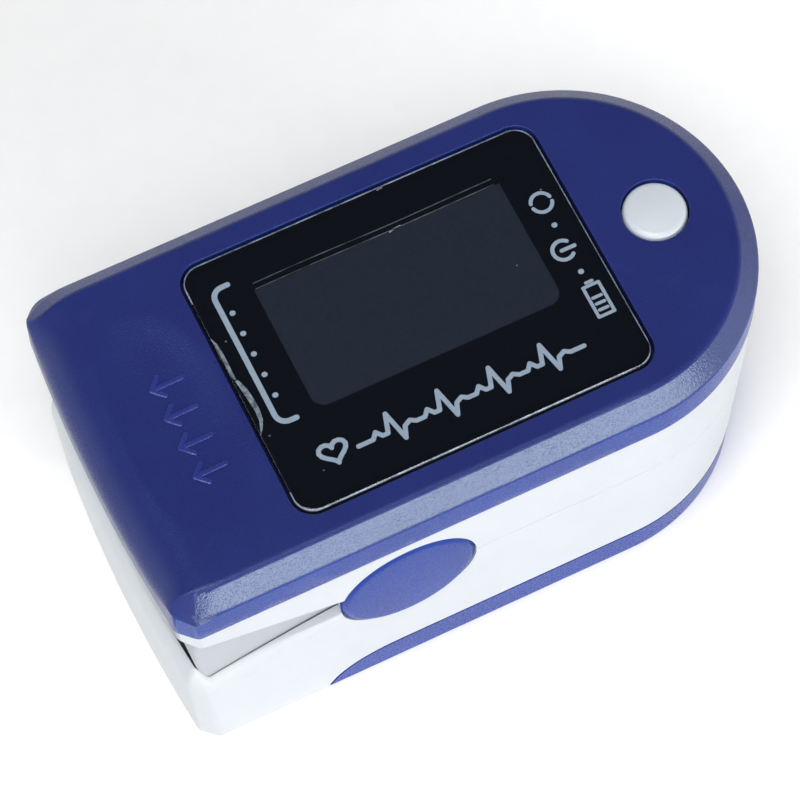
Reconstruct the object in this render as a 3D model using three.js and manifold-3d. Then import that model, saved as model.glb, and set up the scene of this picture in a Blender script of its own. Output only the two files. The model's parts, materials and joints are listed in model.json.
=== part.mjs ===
// Fingertip pulse oximeter, closed and resting on its base.
// Millimetres. +X runs from the press end to the finger opening, +Z is up, and the
// origin is the middle of the base. The two jaws turn about one axle along Y.
import * as THREE from 'three';
import { mergeVertices } from 'three/addons/utils/BufferGeometryUtils.js';
import Module from 'manifold-3d';

const wasm = await Module();
wasm.setup();

// ---------- driving dimensions ----------
const HALF_LENGTH = 31.2;
const HALF_WIDTH = 17;
const TOP_Z = 32;
const GAP = 0.3; // clearance between neighbouring pieces
const WALL = 1.5;

const ROUND_X = HALF_LENGTH - HALF_WIDTH; // centre of the half-round finger end
const PRESS_BOW = 0.75; // how far the press end swells at its middle
const CORNER_CUT = 1.6;

const COVER_Z = 26.5; // lower edge of the top cover
const COVER_PLATE = 2; // thickness of the cover's top plate
const BEVEL = 1.8;
const ROLL_LENGTH = 4.2; // press-end roll of the cover, along X
const ROLL_DROP = 3.6; // and along Z

const HINGE_X = -9.1;
const HINGE_Z = 18.3; // also the height of the seam between the jaws
const AXLE_R = 1;
const AXLE_HOLE_R = 1.1;
const CAP_R = 6.7;
const CAP_FLOOR_Y = 16.2; // floor of the round pocket that a pivot cap lies in
const SKIRT_Y = 15; // outer face of the upper jaw's inner skirt
const SKIRT_IN_Y = 13.9;
const SKIRT_R = 19.4; // press-end skirt, an arc about the hinge
const UPPER_WEDGE = THREE.MathUtils.degToRad(15.5);
const LOWER_WEDGE = THREE.MathUtils.degToRad(11);

const TAPER_X = 0.979; // lower jaw at the base, as a share of its size at the seam
const TAPER_Y = 0.961;
const LOWER_INSET = 0.25;

const DOOR_Z = 4; // top edge of the battery door's side walls
const DOOR_WALL = 1.4;
const DOOR_FRONT_X = -17;
const DOOR_RAMP_X = -10;

const DECK_Z = 23.6; // underside of the upper jaw's deck
const DECK = 1;
const PCB_Z = DECK_Z + DECK + GAP;
const PCB = 1;
const PCB_TOP = PCB_Z + PCB;

const TRAY_Z = 13.2; // underside of the lower jaw's tray, over the cells
const TRAY_TOP = TRAY_Z + 1;
const PAD_Y = 10;
const PAD_END_X = -4.5;
const FLANGE_X = HINGE_X + CAP_R + GAP + 0.2; // the jaws' flanges start clear of the pivot caps
const CHANNEL_HALF_WIDTH = 8.5;
const CHANNEL_HALF_HEIGHT = 3.5;
const CHANNEL_Z = 19;
const SENSOR_X = 8;

const LENS = { x: -0.12, halfLength: 16.9, halfWidth: 12.83, corner: 1.9, thickness: 1.15 };
const LENS_TOP = TOP_Z + 0.05;
const LEDGE = 1; // width of the ledge that the lens lies on
const BUTTON_X = 23.07;
const BUTTON_R = 2.9;

const CELL = { radius: 5.25, length: 44.5, nubRadius: 1.9, nubLength: 0.8, y: 5.6, z: 7.15 };
const BAY = { x0: -25.5, x1: 22.5, y: 11.2, wall: 0.8 };

const COVER_SCREWS = [[-23.5, 10], [-23.5, -10], [16.5, 13.1], [16.5, -13.1]];

// ---------- geometry helpers ----------
// A THREE geometry as a manifold solid.
function solid(geometry) {
  const bare = new THREE.BufferGeometry();
  bare.setAttribute('position', geometry.getAttribute('position').clone());
  if (geometry.index) bare.setIndex(geometry.index.clone());
  const merged = mergeVertices(bare, 1e-4);
  const index = merged.index.array;
  const triangles = [];
  for (let i = 0; i < index.length; i += 3) {
    const [a, b, c] = [index[i], index[i + 1], index[i + 2]];
    if (a !== b && b !== c && a !== c) triangles.push(a, b, c);
  }
  return new wasm.Manifold(new wasm.Mesh({
    numProp: 3,
    vertProperties: new Float32Array(merged.getAttribute('position').array),
    triVerts: new Uint32Array(triangles),
  }));
}

function geometryOf(manifold) {
  const mesh = manifold.getMesh();
  const geometry = new THREE.BufferGeometry();
  geometry.setAttribute('position', new THREE.BufferAttribute(new Float32Array(mesh.vertProperties), 3));
  geometry.setIndex(new THREE.BufferAttribute(new Uint32Array(mesh.triVerts), 1));
  geometry.computeVertexNormals();
  return geometry;
}

const joined = (first, ...rest) => rest.reduce((sum, piece) => sum.add(piece), first);
const without = (first, ...rest) => rest.reduce((left, piece) => left.subtract(piece), first);
const common = (first, ...rest) => rest.reduce((left, piece) => left.intersect(piece), first);

// A flat shape in XY, raised from z0 to z1.
function plateGeometry(shape, z0, z1, curveSegments = 20) {
  const geometry = new THREE.ExtrudeGeometry(shape, { depth: z1 - z0, bevelEnabled: false, curveSegments });
  return geometry.translate(0, 0, z0);
}
const plate = (shape, z0, z1, curveSegments) => solid(plateGeometry(shape, z0, z1, curveSegments));

// A shape drawn in XZ, carried from y0 to y1.
function alongY(shape, y0, y1, curveSegments = 16) {
  const geometry = new THREE.ExtrudeGeometry(shape, { depth: y1 - y0, bevelEnabled: false, curveSegments });
  return solid(geometry.rotateX(Math.PI / 2).translate(0, y1, 0));
}

// A shape drawn in YZ, carried from x0 to x1.
function alongX(shape, x0, x1, curveSegments = 16) {
  const geometry = new THREE.ExtrudeGeometry(shape, { depth: x1 - x0, bevelEnabled: false, curveSegments });
  const turn = new THREE.Matrix4().makeBasis(
    new THREE.Vector3(0, 1, 0), new THREE.Vector3(0, 0, 1), new THREE.Vector3(1, 0, 0));
  return solid(geometry.applyMatrix4(turn).translate(x0, 0, 0));
}

function block(x0, x1, y0, y1, z0, z1) {
  const geometry = new THREE.BoxGeometry(x1 - x0, y1 - y0, z1 - z0);
  return solid(geometry.translate((x0 + x1) / 2, (y0 + y1) / 2, (z0 + z1) / 2));
}

function pillar(x, y, radius, z0, z1, segments = 20) {
  const geometry = new THREE.CylinderGeometry(radius, radius, z1 - z0, segments);
  return solid(geometry.rotateX(Math.PI / 2).translate(x, y, (z0 + z1) / 2));
}

function barAlongY(x, z, radius, y0, y1, segments = 32) {
  const geometry = new THREE.CylinderGeometry(radius, radius, y1 - y0, segments);
  return solid(geometry.translate(x, (y0 + y1) / 2, z));
}

function polygon(points) {
  return new THREE.Shape(points.map(([x, y]) => new THREE.Vector2(x, y)));
}

function roundedRectangle(x, y, halfLength, halfWidth, corner) {
  const shape = new THREE.Shape();
  const [x0, x1, y0, y1] = [x - halfLength, x + halfLength, y - halfWidth, y + halfWidth];
  shape.moveTo(x0 + corner, y0);
  shape.lineTo(x1 - corner, y0);
  shape.absarc(x1 - corner, y0 + corner, corner, -Math.PI / 2, 0);
  shape.lineTo(x1, y1 - corner);
  shape.absarc(x1 - corner, y1 - corner, corner, 0, Math.PI / 2);
  shape.lineTo(x0 + corner, y1);
  shape.absarc(x0 + corner, y1 - corner, corner, Math.PI / 2, Math.PI);
  shape.lineTo(x0, y0 + corner);
  shape.absarc(x0 + corner, y0 + corner, corner, Math.PI, Math.PI * 1.5);
  return shape;
}

// The plan of the body, moved inwards by `inset`; `extra` lengthens the press end.
function bodyPlan(inset, extra = 0) {
  const half = HALF_WIDTH - inset;
  const cut = Math.max(0.3, CORNER_CUT - 0.586 * inset);
  const edgeX = -HALF_LENGTH + PRESS_BOW + inset - extra;
  const shape = new THREE.Shape();
  shape.moveTo(edgeX + cut, -half);
  shape.lineTo(ROUND_X, -half);
  shape.absarc(ROUND_X, 0, half, -Math.PI / 2, Math.PI / 2);
  shape.lineTo(edgeX + cut, half);
  shape.lineTo(edgeX, half - cut);
  shape.quadraticCurveTo(edgeX - 2 * PRESS_BOW, 0, edgeX, cut - half);
  return shape;
}

// A plan of the lower jaw that narrows evenly from the seam down to the base.
function taperedPlate(inset, z0, z1) {
  const geometry = plateGeometry(bodyPlan(inset), z0, z1);
  const position = geometry.getAttribute('position');
  for (let i = 0; i < position.count; i += 1) {
    const rise = position.getZ(i) / HINGE_Z;
    position.setX(i, position.getX(i) * THREE.MathUtils.lerp(TAPER_X, 1, rise));
    position.setY(i, position.getY(i) * THREE.MathUtils.lerp(TAPER_Y, 1, rise));
  }
  return solid(geometry);
}

// The finger channel, grown outwards by `margin`.
function channel(margin, x0, x1) {
  const shape = new THREE.Shape();
  shape.absellipse(0, CHANNEL_Z, CHANNEL_HALF_WIDTH + margin, CHANNEL_HALF_HEIGHT + margin, 0, 2 * Math.PI);
  return alongX(shape, x0, x1, 32);
}

// A round wire of radius `radius` that follows `points`.
function wire(points, radius, steps) {
  const section = new THREE.Shape();
  section.absarc(0, 0, radius, 0, 2 * Math.PI);
  const path = new THREE.CatmullRomCurve3(points, false, 'centripetal');
  return solid(new THREE.ExtrudeGeometry(section, {
    steps, extrudePath: path, bevelEnabled: false, curveSegments: 6,
  }));
}

// A point on the hinge's circle: angle 0 points to the press end, and positive angles rise.
function hingePoint(radius, angle) {
  return [HINGE_X - radius * Math.cos(angle), HINGE_Z + radius * Math.sin(angle)];
}

// ---------- openings that both jaws share ----------
const channelMouth = () => channel(GAP, 20, HALF_LENGTH + 1);
const ribbonSlot = (z0, z1) => block(-15, -13.4, 5.2, 11.8, z0, z1);
const opticsSlot = (half, z0, z1) => block(SENSOR_X - half, SENSOR_X + half, -half, half, z0, z1);
const axleBore = () => barAlongY(HINGE_X, HINGE_Z, AXLE_HOLE_R, -HALF_WIDTH, HALF_WIDTH, 24);

// ---------- materials and nodes ----------
const oximeter = new THREE.Group();

function finish(color, roughness, metalness = 0) {
  return { color, roughness, metalness };
}
const FINISHES = {
  blue: finish(0x26306f, 0.5),
  white: finish(0xe9eef3, 0.45),
  black: finish(0x121519, 0.12),
  silicone: finish(0xb9c0c8, 0.75),
  steel: finish(0xb8bcc2, 0.3, 1),
  board: finish(0x1f6b3a, 0.5),
  chip: finish(0x202225, 0.6),
  glass: finish(0x1a2026, 0.1),
  clear: finish(0xcfd8dc, 0.1),
  flex: finish(0xc07a24, 0.4),
  cell: finish(0x3d6b4a, 0.35, 0.6),
};

function addNode(name, shape, finishName) {
  const mesh = new THREE.Mesh(geometryOf(shape), new THREE.MeshStandardMaterial(FINISHES[finishName]));
  mesh.name = name;
  oximeter.add(mesh);
}

// ---------- upper jaw ----------
function topCover() {
  const sides = 10;
  const bevelled = new THREE.ExtrudeGeometry(bodyPlan(BEVEL, 6), {
    depth: sides, bevelEnabled: true, bevelThickness: BEVEL, bevelSize: BEVEL, bevelSegments: 1, curveSegments: 20,
  });
  bevelled.translate(0, 0, TOP_Z - BEVEL - sides);
  const roll = new THREE.Shape();
  roll.moveTo(HALF_LENGTH + 1, COVER_Z - 1);
  roll.lineTo(HALF_LENGTH + 1, TOP_Z);
  roll.lineTo(-HALF_LENGTH + ROLL_LENGTH, TOP_Z);
  roll.absellipse(
    -HALF_LENGTH + ROLL_LENGTH, TOP_Z - ROLL_DROP, ROLL_LENGTH, ROLL_DROP, Math.PI / 2, Math.PI);
  roll.lineTo(-HALF_LENGTH, COVER_Z - 1);
  const outer = common(
    solid(bevelled),
    plate(bodyPlan(0), COVER_Z, TOP_Z),
    alongY(roll, -HALF_WIDTH - 1, HALF_WIDTH + 1, 8));
  const hollow = plate(bodyPlan(WALL), COVER_Z - 1, TOP_Z - COVER_PLATE);
  const pocket = roundedRectangle(
    LENS.x, 0, LENS.halfLength + GAP, LENS.halfWidth + GAP, LENS.corner + GAP);
  const window = roundedRectangle(
    LENS.x, 0, LENS.halfLength - LEDGE, LENS.halfWidth - LEDGE, LENS.corner);
  const pocketFloor = LENS_TOP - LENS.thickness - GAP;
  let cover = without(
    outer, hollow, fingerDish(),
    plate(pocket, pocketFloor, TOP_Z + 1, 5),
    plate(window, TOP_Z - 4, TOP_Z + 1, 5));
  for (const [x, y] of COVER_SCREWS) {
    cover = cover.add(pillar(x, y, 1.6, PCB_Z, TOP_Z - COVER_PLATE + 0.2, 16));
    cover = cover.subtract(pillar(x, y, 0.85, PCB_Z - 1, TOP_Z - COVER_PLATE - 0.6, 12));
  }
  return cover.subtract(pillar(BUTTON_X, 0, BUTTON_R + GAP, TOP_Z - 4, TOP_Z + 1, 32));
}

// The shallow hollow for a fingertip, cut into the press end of the cover.
function fingerDish() {
  const [depth, height] = [0.45, 4];
  const spread = Math.sqrt(1 - ((height - depth) / height) ** 2);
  const geometry = new THREE.SphereGeometry(1, 28, 28);
  geometry.scale(5.2 / spread, 11.5 / spread, height);
  return solid(geometry.translate(-22.9, 0, TOP_Z + height - depth));
}

function displayLens() {
  const outline = roundedRectangle(LENS.x, 0, LENS.halfLength, LENS.halfWidth, LENS.corner);
  return plate(outline, LENS_TOP - LENS.thickness, LENS_TOP, 6);
}

function upperFrame() {
  const top = COVER_Z - GAP;
  const bottom = HINGE_Z + GAP / 2;
  const shell = without(
    plate(bodyPlan(0.2), bottom, top),
    plate(bodyPlan(0.2 + WALL), DECK_Z + DECK, top + 1),
    plate(bodyPlan(0.2 + WALL), bottom - 1, DECK_Z));
  const pressGap = alongY(polygon([
    hingePoint(0, 0), hingePoint(40, UPPER_WEDGE), [-50, 0], [HINGE_X, 0],
  ]), -20, 20);
  const capRoom = [-1, 1].map((side) => barAlongY(
    HINGE_X, HINGE_Z, CAP_R + GAP, Math.min(side * 20, side * (SKIRT_Y + 0.35)),
    Math.max(side * 20, side * (SKIRT_Y + 0.35)), 48));
  const inside = joined(pressSkirt(), upperTunnel());
  return without(
    joined(without(shell, pressGap, ...capRoom), inside),
    channelMouth(),
    opticsSlot(2.6, DECK_Z - 1, DECK_Z + DECK + 1),
    ribbonSlot(DECK_Z - 1, DECK_Z + DECK + 1),
    ...COVER_SCREWS.map(([x, y]) => pillar(x, y, 1, DECK_Z - 1, DECK_Z + DECK + 1, 12)),
    ...COVER_SCREWS.map(([x, y]) => pillar(x, y, 1.9, HINGE_Z - 1, DECK_Z - 1.5, 16)),
    axleBore());
}

// Side plates that carry the axle, and the arc-shaped wall across the press end.
function pressSkirt() {
  const foot = -LOWER_WEDGE - 0.04;
  const head = UPPER_WEDGE + 0.03;
  const side = polygon([
    [HINGE_X + 5, DECK_Z + 0.4], [HINGE_X + 4.4, HINGE_Z - 0.6], [HINGE_X + 2.5, HINGE_Z - 2.8],
    [HINGE_X, HINGE_Z - 3.2], hingePoint(5, foot - 0.45), hingePoint(SKIRT_R - 0.8, foot),
    hingePoint(SKIRT_R - 0.8, head), [HINGE_X - 17.5, DECK_Z + 0.4],
  ]);
  const arc = new THREE.Shape();
  arc.absarc(HINGE_X, HINGE_Z, SKIRT_R, Math.PI - head, Math.PI + 0.05, false);
  arc.absarc(HINGE_X, HINGE_Z, SKIRT_R - 0.8, Math.PI + 0.05, Math.PI - head, true);
  return joined(
    alongY(side, SKIRT_IN_Y, SKIRT_Y),
    alongY(side, -SKIRT_Y, -SKIRT_IN_Y),
    alongY(arc, -SKIRT_Y, SKIRT_Y, 6));
}

// Walls around the upper finger pad, and the flange that closes the jaw beside them.
function upperTunnel() {
  const bottom = HINGE_Z + GAP / 2;
  const room = plate(bodyPlan(1), bottom, DECK_Z + 0.2);
  const innerY = PAD_Y + GAP;
  const walls = [innerY, -innerY - 1].map((y) => block(-5.8, 40, y, y + 1, bottom, DECK_Z + 0.2));
  const stop = block(-5.8, -4.8, -innerY - 0.5, innerY + 0.5, bottom, DECK_Z + 0.2);
  const flange = without(
    block(FLANGE_X, 40, -20, 20, bottom, bottom + 1),
    block(-10, 50, -innerY, innerY, bottom - 1, bottom + 2));
  return common(room, joined(walls[0], walls[1], stop, flange));
}

function fingerPad(z0, z1, windowZ0, windowZ1) {
  const outline = common(
    plate(bodyPlan(0.2 + WALL + GAP), z0, z1),
    block(PAD_END_X, 40, -PAD_Y, PAD_Y, z0 - 1, z1 + 1));
  return without(
    outline,
    channel(0, PAD_END_X + 1.6, 40),
    opticsSlot(2.4, windowZ0, windowZ1));
}

function mainBoard() {
  return without(
    common(plate(bodyPlan(4.5), PCB_Z, PCB_TOP), block(-21, 40, -20, 20, 0, TOP_Z)),
    ...COVER_SCREWS.map(([x, y]) => pillar(x, y, 2, PCB_Z - 1, PCB_TOP + 1, 16)));
}

function displayHolder() {
  return without(
    block(-13.4, 13.4, -9.6, 11, PCB_TOP + GAP, 28.6),
    block(-11.6, 11.6, -7.8, 9.2, PCB_TOP, 30));
}

// A thin strip of constant thickness along the XZ points, from y0 to y1.
function ribbon(points, y0, y1) {
  const path = new THREE.SplineCurve(points.map(([x, z]) => new THREE.Vector2(x, z)));
  const halfThickness = 0.12;
  const left = [];
  const right = [];
  for (let i = 0; i <= 20; i += 1) {
    const point = path.getPoint(i / 20);
    const tangent = path.getTangent(i / 20).multiplyScalar(halfThickness);
    left.push([point.x - tangent.y, point.y + tangent.x]);
    right.push([point.x + tangent.y, point.y - tangent.x]);
  }
  return alongY(polygon([...left, ...right.reverse()]), y0, y1);
}

// The display's own flat cable, from the glass's edge round to the board.
function displayRibbon() {
  return ribbon([
    [-13.25, 29.4], [-14.6, 29.2], [-15.7, 28.3], [-15.8, 27.3], [-15.2, 26.5], [-14, 26.15],
  ], -3, 6);
}

// Body of the push switch, with the well that its plunger sinks into.
function tactSwitch() {
  return block(BUTTON_X - 2.3, BUTTON_X + 2.3, -2.3, 2.3, PCB_TOP + 0.1, 28)
    .subtract(pillar(BUTTON_X, 0, 1.1, 27.1, 29, 20));
}

function powerButton() {
  const profile = [
    [0, 29], [1, 29], [1, 29.25], [3.6, 29.25], [3.6, 29.7], [BUTTON_R, 29.7], [BUTTON_R, 31.75],
    [BUTTON_R - 0.25, 32.1], [BUTTON_R * 0.5, 32.3], [0, 32.35],
  ];
  const points = profile.map(([radius, z]) => new THREE.Vector2(radius, z));
  return solid(new THREE.LatheGeometry(points, 32).rotateX(Math.PI / 2).translate(BUTTON_X, 0, 0));
}

function coverScrew(x, y) {
  const top = DECK_Z - GAP;
  const headHole = [[-0.25, -0.9], [0.25, -0.9], [0.25, 0.9], [-0.25, 0.9]];
  const slot = plate(polygon(headHole.map(([u, v]) => [x + u, y + v])), top - 2, top - 0.8);
  const crossSlot = plate(polygon(headHole.map(([u, v]) => [x + v, y + u])), top - 2, top - 0.8);
  return without(
    joined(pillar(x, y, 1.5, top - 1.3, top, 20), pillar(x, y, 0.55, top - 0.1, TOP_Z - 3, 12)),
    slot, crossSlot);
}

// ---------- lower jaw ----------
// Side view of the battery door's room, grown by `gap` on its front and top.
function doorProfile(gap) {
  const shape = new THREE.Shape();
  shape.moveTo(DOOR_FRONT_X - gap, -1);
  shape.lineTo(DOOR_FRONT_X - gap, 0);
  shape.quadraticCurveTo(DOOR_FRONT_X + 1.6 - gap, DOOR_Z + gap, DOOR_RAMP_X, DOOR_Z + gap);
  shape.lineTo(HALF_LENGTH + 5, DOOR_Z + gap);
  shape.lineTo(HALF_LENGTH + 5, -1);
  return shape;
}

function lowerHousing() {
  const top = HINGE_Z - GAP / 2;
  const shell = without(
    taperedPlate(LOWER_INSET, 0, top),
    taperedPlate(LOWER_INSET + 1.25, WALL, top + 1),
    alongY(doorProfile(GAP), -20, 20, 8));
  const pressGap = alongY(polygon([
    hingePoint(0, 0), hingePoint(40, -LOWER_WEDGE), [-50, 40], [HINGE_X, 40],
  ]), -20, 20);
  const ears = [-1, 1].map((side) => barAlongY(
    HINGE_X, HINGE_Z, CAP_R, Math.min(side * CAP_FLOOR_Y, side * (SKIRT_Y + 0.5)),
    Math.max(side * CAP_FLOOR_Y, side * (SKIRT_Y + 0.5)), 48));
  const pockets = [-1, 1].map((side) => barAlongY(
    HINGE_X, HINGE_Z, CAP_R + GAP, Math.min(side * CAP_FLOOR_Y, side * 20),
    Math.max(side * CAP_FLOOR_Y, side * 20), 48));
  return without(
    joined(without(shell, pressGap), ...ears, doorRails(), batteryTray(), axleBosses(), lowerTunnel()),
    ...pockets,
    channelMouth(),
    opticsSlot(4.3, TRAY_Z - 1, TRAY_TOP + 1),
    ribbonSlot(TRAY_Z - 0.5, TRAY_TOP + 1),
    axleBore());
}

// The stepped-in wall that the door's side walls slide over, with a groove for its ribs.
function doorRails() {
  const room = block(DOOR_FRONT_X + 1.5, 40, -20, 20, WALL + GAP, 40);
  const skirt = without(
    taperedPlate(LOWER_INSET + DOOR_WALL + GAP, WALL + GAP, DOOR_Z + 2),
    taperedPlate(LOWER_INSET + DOOR_WALL + 1.6, 0, DOOR_Z + 3));
  const shelf = without(
    taperedPlate(LOWER_INSET + 0.6, DOOR_Z + GAP + 0.1, DOOR_Z + 1.6),
    taperedPlate(LOWER_INSET + DOOR_WALL + 1.2, 0, DOOR_Z + 3));
  const groove = without(
    block(DOOR_FRONT_X, 40, -14.9, 14.9, 2.3, 3.6),
    block(DOOR_FRONT_X - 1, 41, -13.85, 13.85, 2, 4));
  return common(room, without(joined(skirt, shelf), groove));
}

// The bay that holds both cells, and the tray over it that carries the finger pad.
function batteryTray() {
  const outerY = BAY.y + BAY.wall;
  const bay = without(
    common(
      block(BAY.x0 - BAY.wall, BAY.x1 + BAY.wall, -outerY, outerY, WALL - 0.2, TRAY_TOP),
      taperedPlate(LOWER_INSET + DOOR_WALL + GAP, 0, HINGE_Z)),
    block(BAY.x0, BAY.x1, -BAY.y, BAY.y, -1, TRAY_Z),
    alongY(doorProfile(GAP), -20, 20, 8).intersect(block(-50, 50, -20, 20, -2, WALL + GAP)));
  const tray = common(taperedPlate(LOWER_INSET + 0.8, TRAY_Z, TRAY_TOP), block(FLANGE_X, 40, -20, 20, 0, 40));
  return joined(bay, tray);
}

// Inner ears beside the skirt plates, which hold the axle with the outer ones.
function axleBosses() {
  const side = polygon([
    [HINGE_X + 5, TRAY_Z], [HINGE_X + 2.7, HINGE_Z + 1.2], [HINGE_X + 1, HINGE_Z + 2.8],
    [HINGE_X - 1, HINGE_Z + 2.8], [HINGE_X - 2.7, HINGE_Z + 1.2], [HINGE_X - 5, TRAY_Z],
    [HINGE_X - 5, TRAY_Z - 3], [HINGE_X + 5, TRAY_Z - 3],
  ]);
  const y = BAY.y + BAY.wall - 0.2;
  return joined(alongY(side, y, SKIRT_IN_Y - GAP), alongY(side, -SKIRT_IN_Y + GAP, -y));
}

function lowerTunnel() {
  const top = HINGE_Z - GAP / 2;
  const innerY = PAD_Y + GAP;
  const room = taperedPlate(LOWER_INSET + 0.8, TRAY_TOP - 0.2, top);
  const walls = [innerY, -innerY - 1].map((y) => block(-5.8, 40, y, y + 1, TRAY_TOP - 0.2, top));
  const stop = block(-5.8, -4.8, -innerY - 0.5, innerY + 0.5, TRAY_TOP - 0.2, HINGE_Z - 1.5);
  const flange = without(
    block(FLANGE_X, 40, -20, 20, top - 1, top),
    block(-10, 50, -innerY, innerY, top - 2, top + 1));
  return common(room, joined(walls[0], walls[1], stop, flange));
}

function batteryDoor() {
  const outer = common(
    taperedPlate(LOWER_INSET, 0, DOOR_Z),
    alongY(doorProfile(0), -20, 20, 8));
  const shell = without(outer, taperedPlate(LOWER_INSET + DOOR_WALL, WALL, DOOR_Z + 1));
  const ribs = [14.15, -15.1].map((y) => block(-8, 13, y, y + 0.95, 2.6, 3.3));
  return joined(shell, ...ribs);
}

function cell(side, x0) {
  const { radius, length, nubRadius, nubLength } = CELL;
  const body = length - nubLength;
  const profile = [
    [0, 0], [radius - 0.4, 0], [radius, 0.4], [radius, body - 0.5], [radius - 0.5, body],
    [nubRadius, body], [nubRadius, length], [0, length],
  ];
  const geometry = new THREE.LatheGeometry(profile.map(([r, z]) => new THREE.Vector2(r, z)), 28);
  geometry.rotateZ(-Math.PI / 2);
  if (side < 0) geometry.rotateZ(Math.PI).translate(length, 0, 0);
  return solid(geometry.translate(x0, side * CELL.y, CELL.z));
}

function conicalSpring(x0, x1, y, bigAtStart) {
  const turns = 2;
  const wireR = 0.25;
  const points = [];
  for (let i = 0; i <= turns * 12; i += 1) {
    const t = i / (turns * 12);
    const radius = THREE.MathUtils.lerp(3.6, 2.2, bigAtStart ? t : 1 - t);
    const angle = t * turns * 2 * Math.PI;
    const x = THREE.MathUtils.lerp(x0 + wireR, x1 - wireR, t);
    points.push(new THREE.Vector3(x, y + radius * Math.cos(angle), CELL.z + radius * Math.sin(angle)));
  }
  return wire(points, wireR, turns * 16);
}

function contactPlate(x0, x1, y0, y1) {
  return block(x0, x1, y0, y1, 2.6, 11.8);
}

// ---------- hinge ----------
function pivotCap(side) {
  const [inner, outer] = [CAP_FLOOR_Y + 0.1, HALF_WIDTH];
  const profile = [
    [0, inner], [CAP_R - 0.3, inner], [CAP_R, inner + 0.2], [CAP_R - 0.1, outer - 0.3],
    [CAP_R - 0.5, outer - 0.08], [CAP_R - 1.1, outer], [0, outer],
  ];
  const geometry = new THREE.LatheGeometry(profile.map(([r, y]) => new THREE.Vector2(r, y)), 48);
  if (side < 0) geometry.rotateX(Math.PI);
  return solid(geometry.translate(HINGE_X, 0, HINGE_Z));
}

// A torsion spring on the axle, with one arm on the lower tray and one under the upper deck.
function torsionSpring() {
  const [wireR, coilR, halfWidth, turns] = [0.35, 2.4, 2.4, 4];
  const start = -Math.PI / 2 + 0.08;
  const end = Math.PI / 2 - 0.19 + turns * 2 * Math.PI;
  const points = [new THREE.Vector3(HINGE_X - 12, -halfWidth, TRAY_TOP + GAP + wireR)];
  points.push(new THREE.Vector3(HINGE_X - 5, -halfWidth, TRAY_TOP + GAP + wireR + 0.55));
  const steps = Math.round((end - start) / (Math.PI / 6));
  for (let i = 0; i <= steps; i += 1) {
    const angle = THREE.MathUtils.lerp(start, end, i / steps);
    const y = THREE.MathUtils.lerp(-halfWidth, halfWidth, i / steps);
    points.push(new THREE.Vector3(HINGE_X + coilR * Math.cos(angle), y, HINGE_Z + coilR * Math.sin(angle)));
  }
  points.push(new THREE.Vector3(HINGE_X - 5, halfWidth, DECK_Z - GAP - wireR - 1.35));
  points.push(new THREE.Vector3(HINGE_X - 12, halfWidth, DECK_Z - GAP - wireR));
  return wire(points, wireR, 96);
}

// The ribbon that carries power and the sensor's signal from jaw to jaw.
function jawRibbon() {
  const middle = [
    [-14.2, TRAY_Z + 0.2], [-14.2, TRAY_TOP + 0.8], [-15.6, HINGE_Z - 1.5], [-15.9, HINGE_Z + 0.5],
    [-14.6, HINGE_Z + 3], [-14.2, DECK_Z - 0.8], [-14.2, PCB_Z - 0.2],
  ];
  return ribbon(middle, 5.6, 11);
}

// ---------- assembly ----------
addNode('top_cover', topCover(), 'blue');
addNode('display_lens', displayLens(), 'black');
addNode('oled_display', block(-13, 13.6, -7.2, 10.6, 28.9, 30.5), 'glass');
addNode('display_ribbon', displayRibbon(), 'flex');
addNode('display_holder', displayHolder(), 'black');
addNode('main_pcb', mainBoard(), 'board');
addNode('microcontroller', block(-7, 0, -3.5, 3.5, PCB_TOP + 0.1, PCB_TOP + 1.1), 'chip');
addNode('quartz_crystal', block(3, 8, 0, 2, PCB_TOP + 0.1, PCB_TOP + 1.3), 'steel');
addNode('tact_switch', tactSwitch(), 'chip');
addNode('switch_plunger', pillar(BUTTON_X, 0, 0.8, 27.6, 28.7, 16), 'black');
addNode('power_button', powerButton(), 'white');
addNode('upper_frame', upperFrame(), 'white');
addNode('upper_finger_pad', fingerPad(HINGE_Z + GAP / 2, DECK_Z - GAP, CHANNEL_Z, TOP_Z), 'silicone');
addNode('emitter_window', block(6.1, 9.9, -1.9, 1.9, 22.55, 23.2), 'clear');
addNode('emitter_led', block(6.4, 9.6, -1.4, 1.4, DECK_Z + 0.1, PCB_Z - 0.1), 'chip');
COVER_SCREWS.forEach(([x, y], i) => addNode(`cover_screw_${i + 1}`, coverScrew(x, y), 'steel'));

addNode('lower_housing', lowerHousing(), 'white');
addNode('lower_finger_pad', fingerPad(TRAY_TOP + GAP, HINGE_Z - GAP / 2, 0, CHANNEL_Z), 'silicone');
addNode('sensor_window', block(6.1, 9.9, -1.9, 1.9, 14.8, 15.45), 'clear');
addNode('photodiode', block(6.4, 9.6, -1.4, 1.4, 13.8, 14.6), 'chip');
addNode('sensor_board', block(SENSOR_X - 4, SENSOR_X + 4, -4, 4, 12.9, 13.7), 'board');
addNode('battery_cell_1', cell(1, -23), 'cell');
addNode('battery_cell_2', cell(-1, -24.6), 'cell');
addNode('terminal_plate_negative', contactPlate(-25.35, -25.05, 1.2, 10), 'steel');
addNode('terminal_plate_positive', contactPlate(-25.35, -25.05, -10, -1.2), 'steel');
addNode('terminal_spring', conicalSpring(-24.95, -23.15, CELL.y, true), 'steel');
addNode('contact_bridge', contactPlate(21.9, 22.2, -9.6, 9.6), 'steel');
addNode('bridge_spring', conicalSpring(20.05, 21.8, -CELL.y, false), 'steel');
addNode('battery_door', batteryDoor(), 'blue');

addNode('hinge_axle', barAlongY(HINGE_X, HINGE_Z, AXLE_R, -16.1, 16.1, 24), 'steel');
addNode('torsion_spring', torsionSpring(), 'steel');
addNode('jaw_ribbon', jawRibbon(), 'flex');
addNode('pivot_cap_left', pivotCap(1), 'blue');
addNode('pivot_cap_right', pivotCap(-1), 'blue');

export default oximeter;
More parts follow.
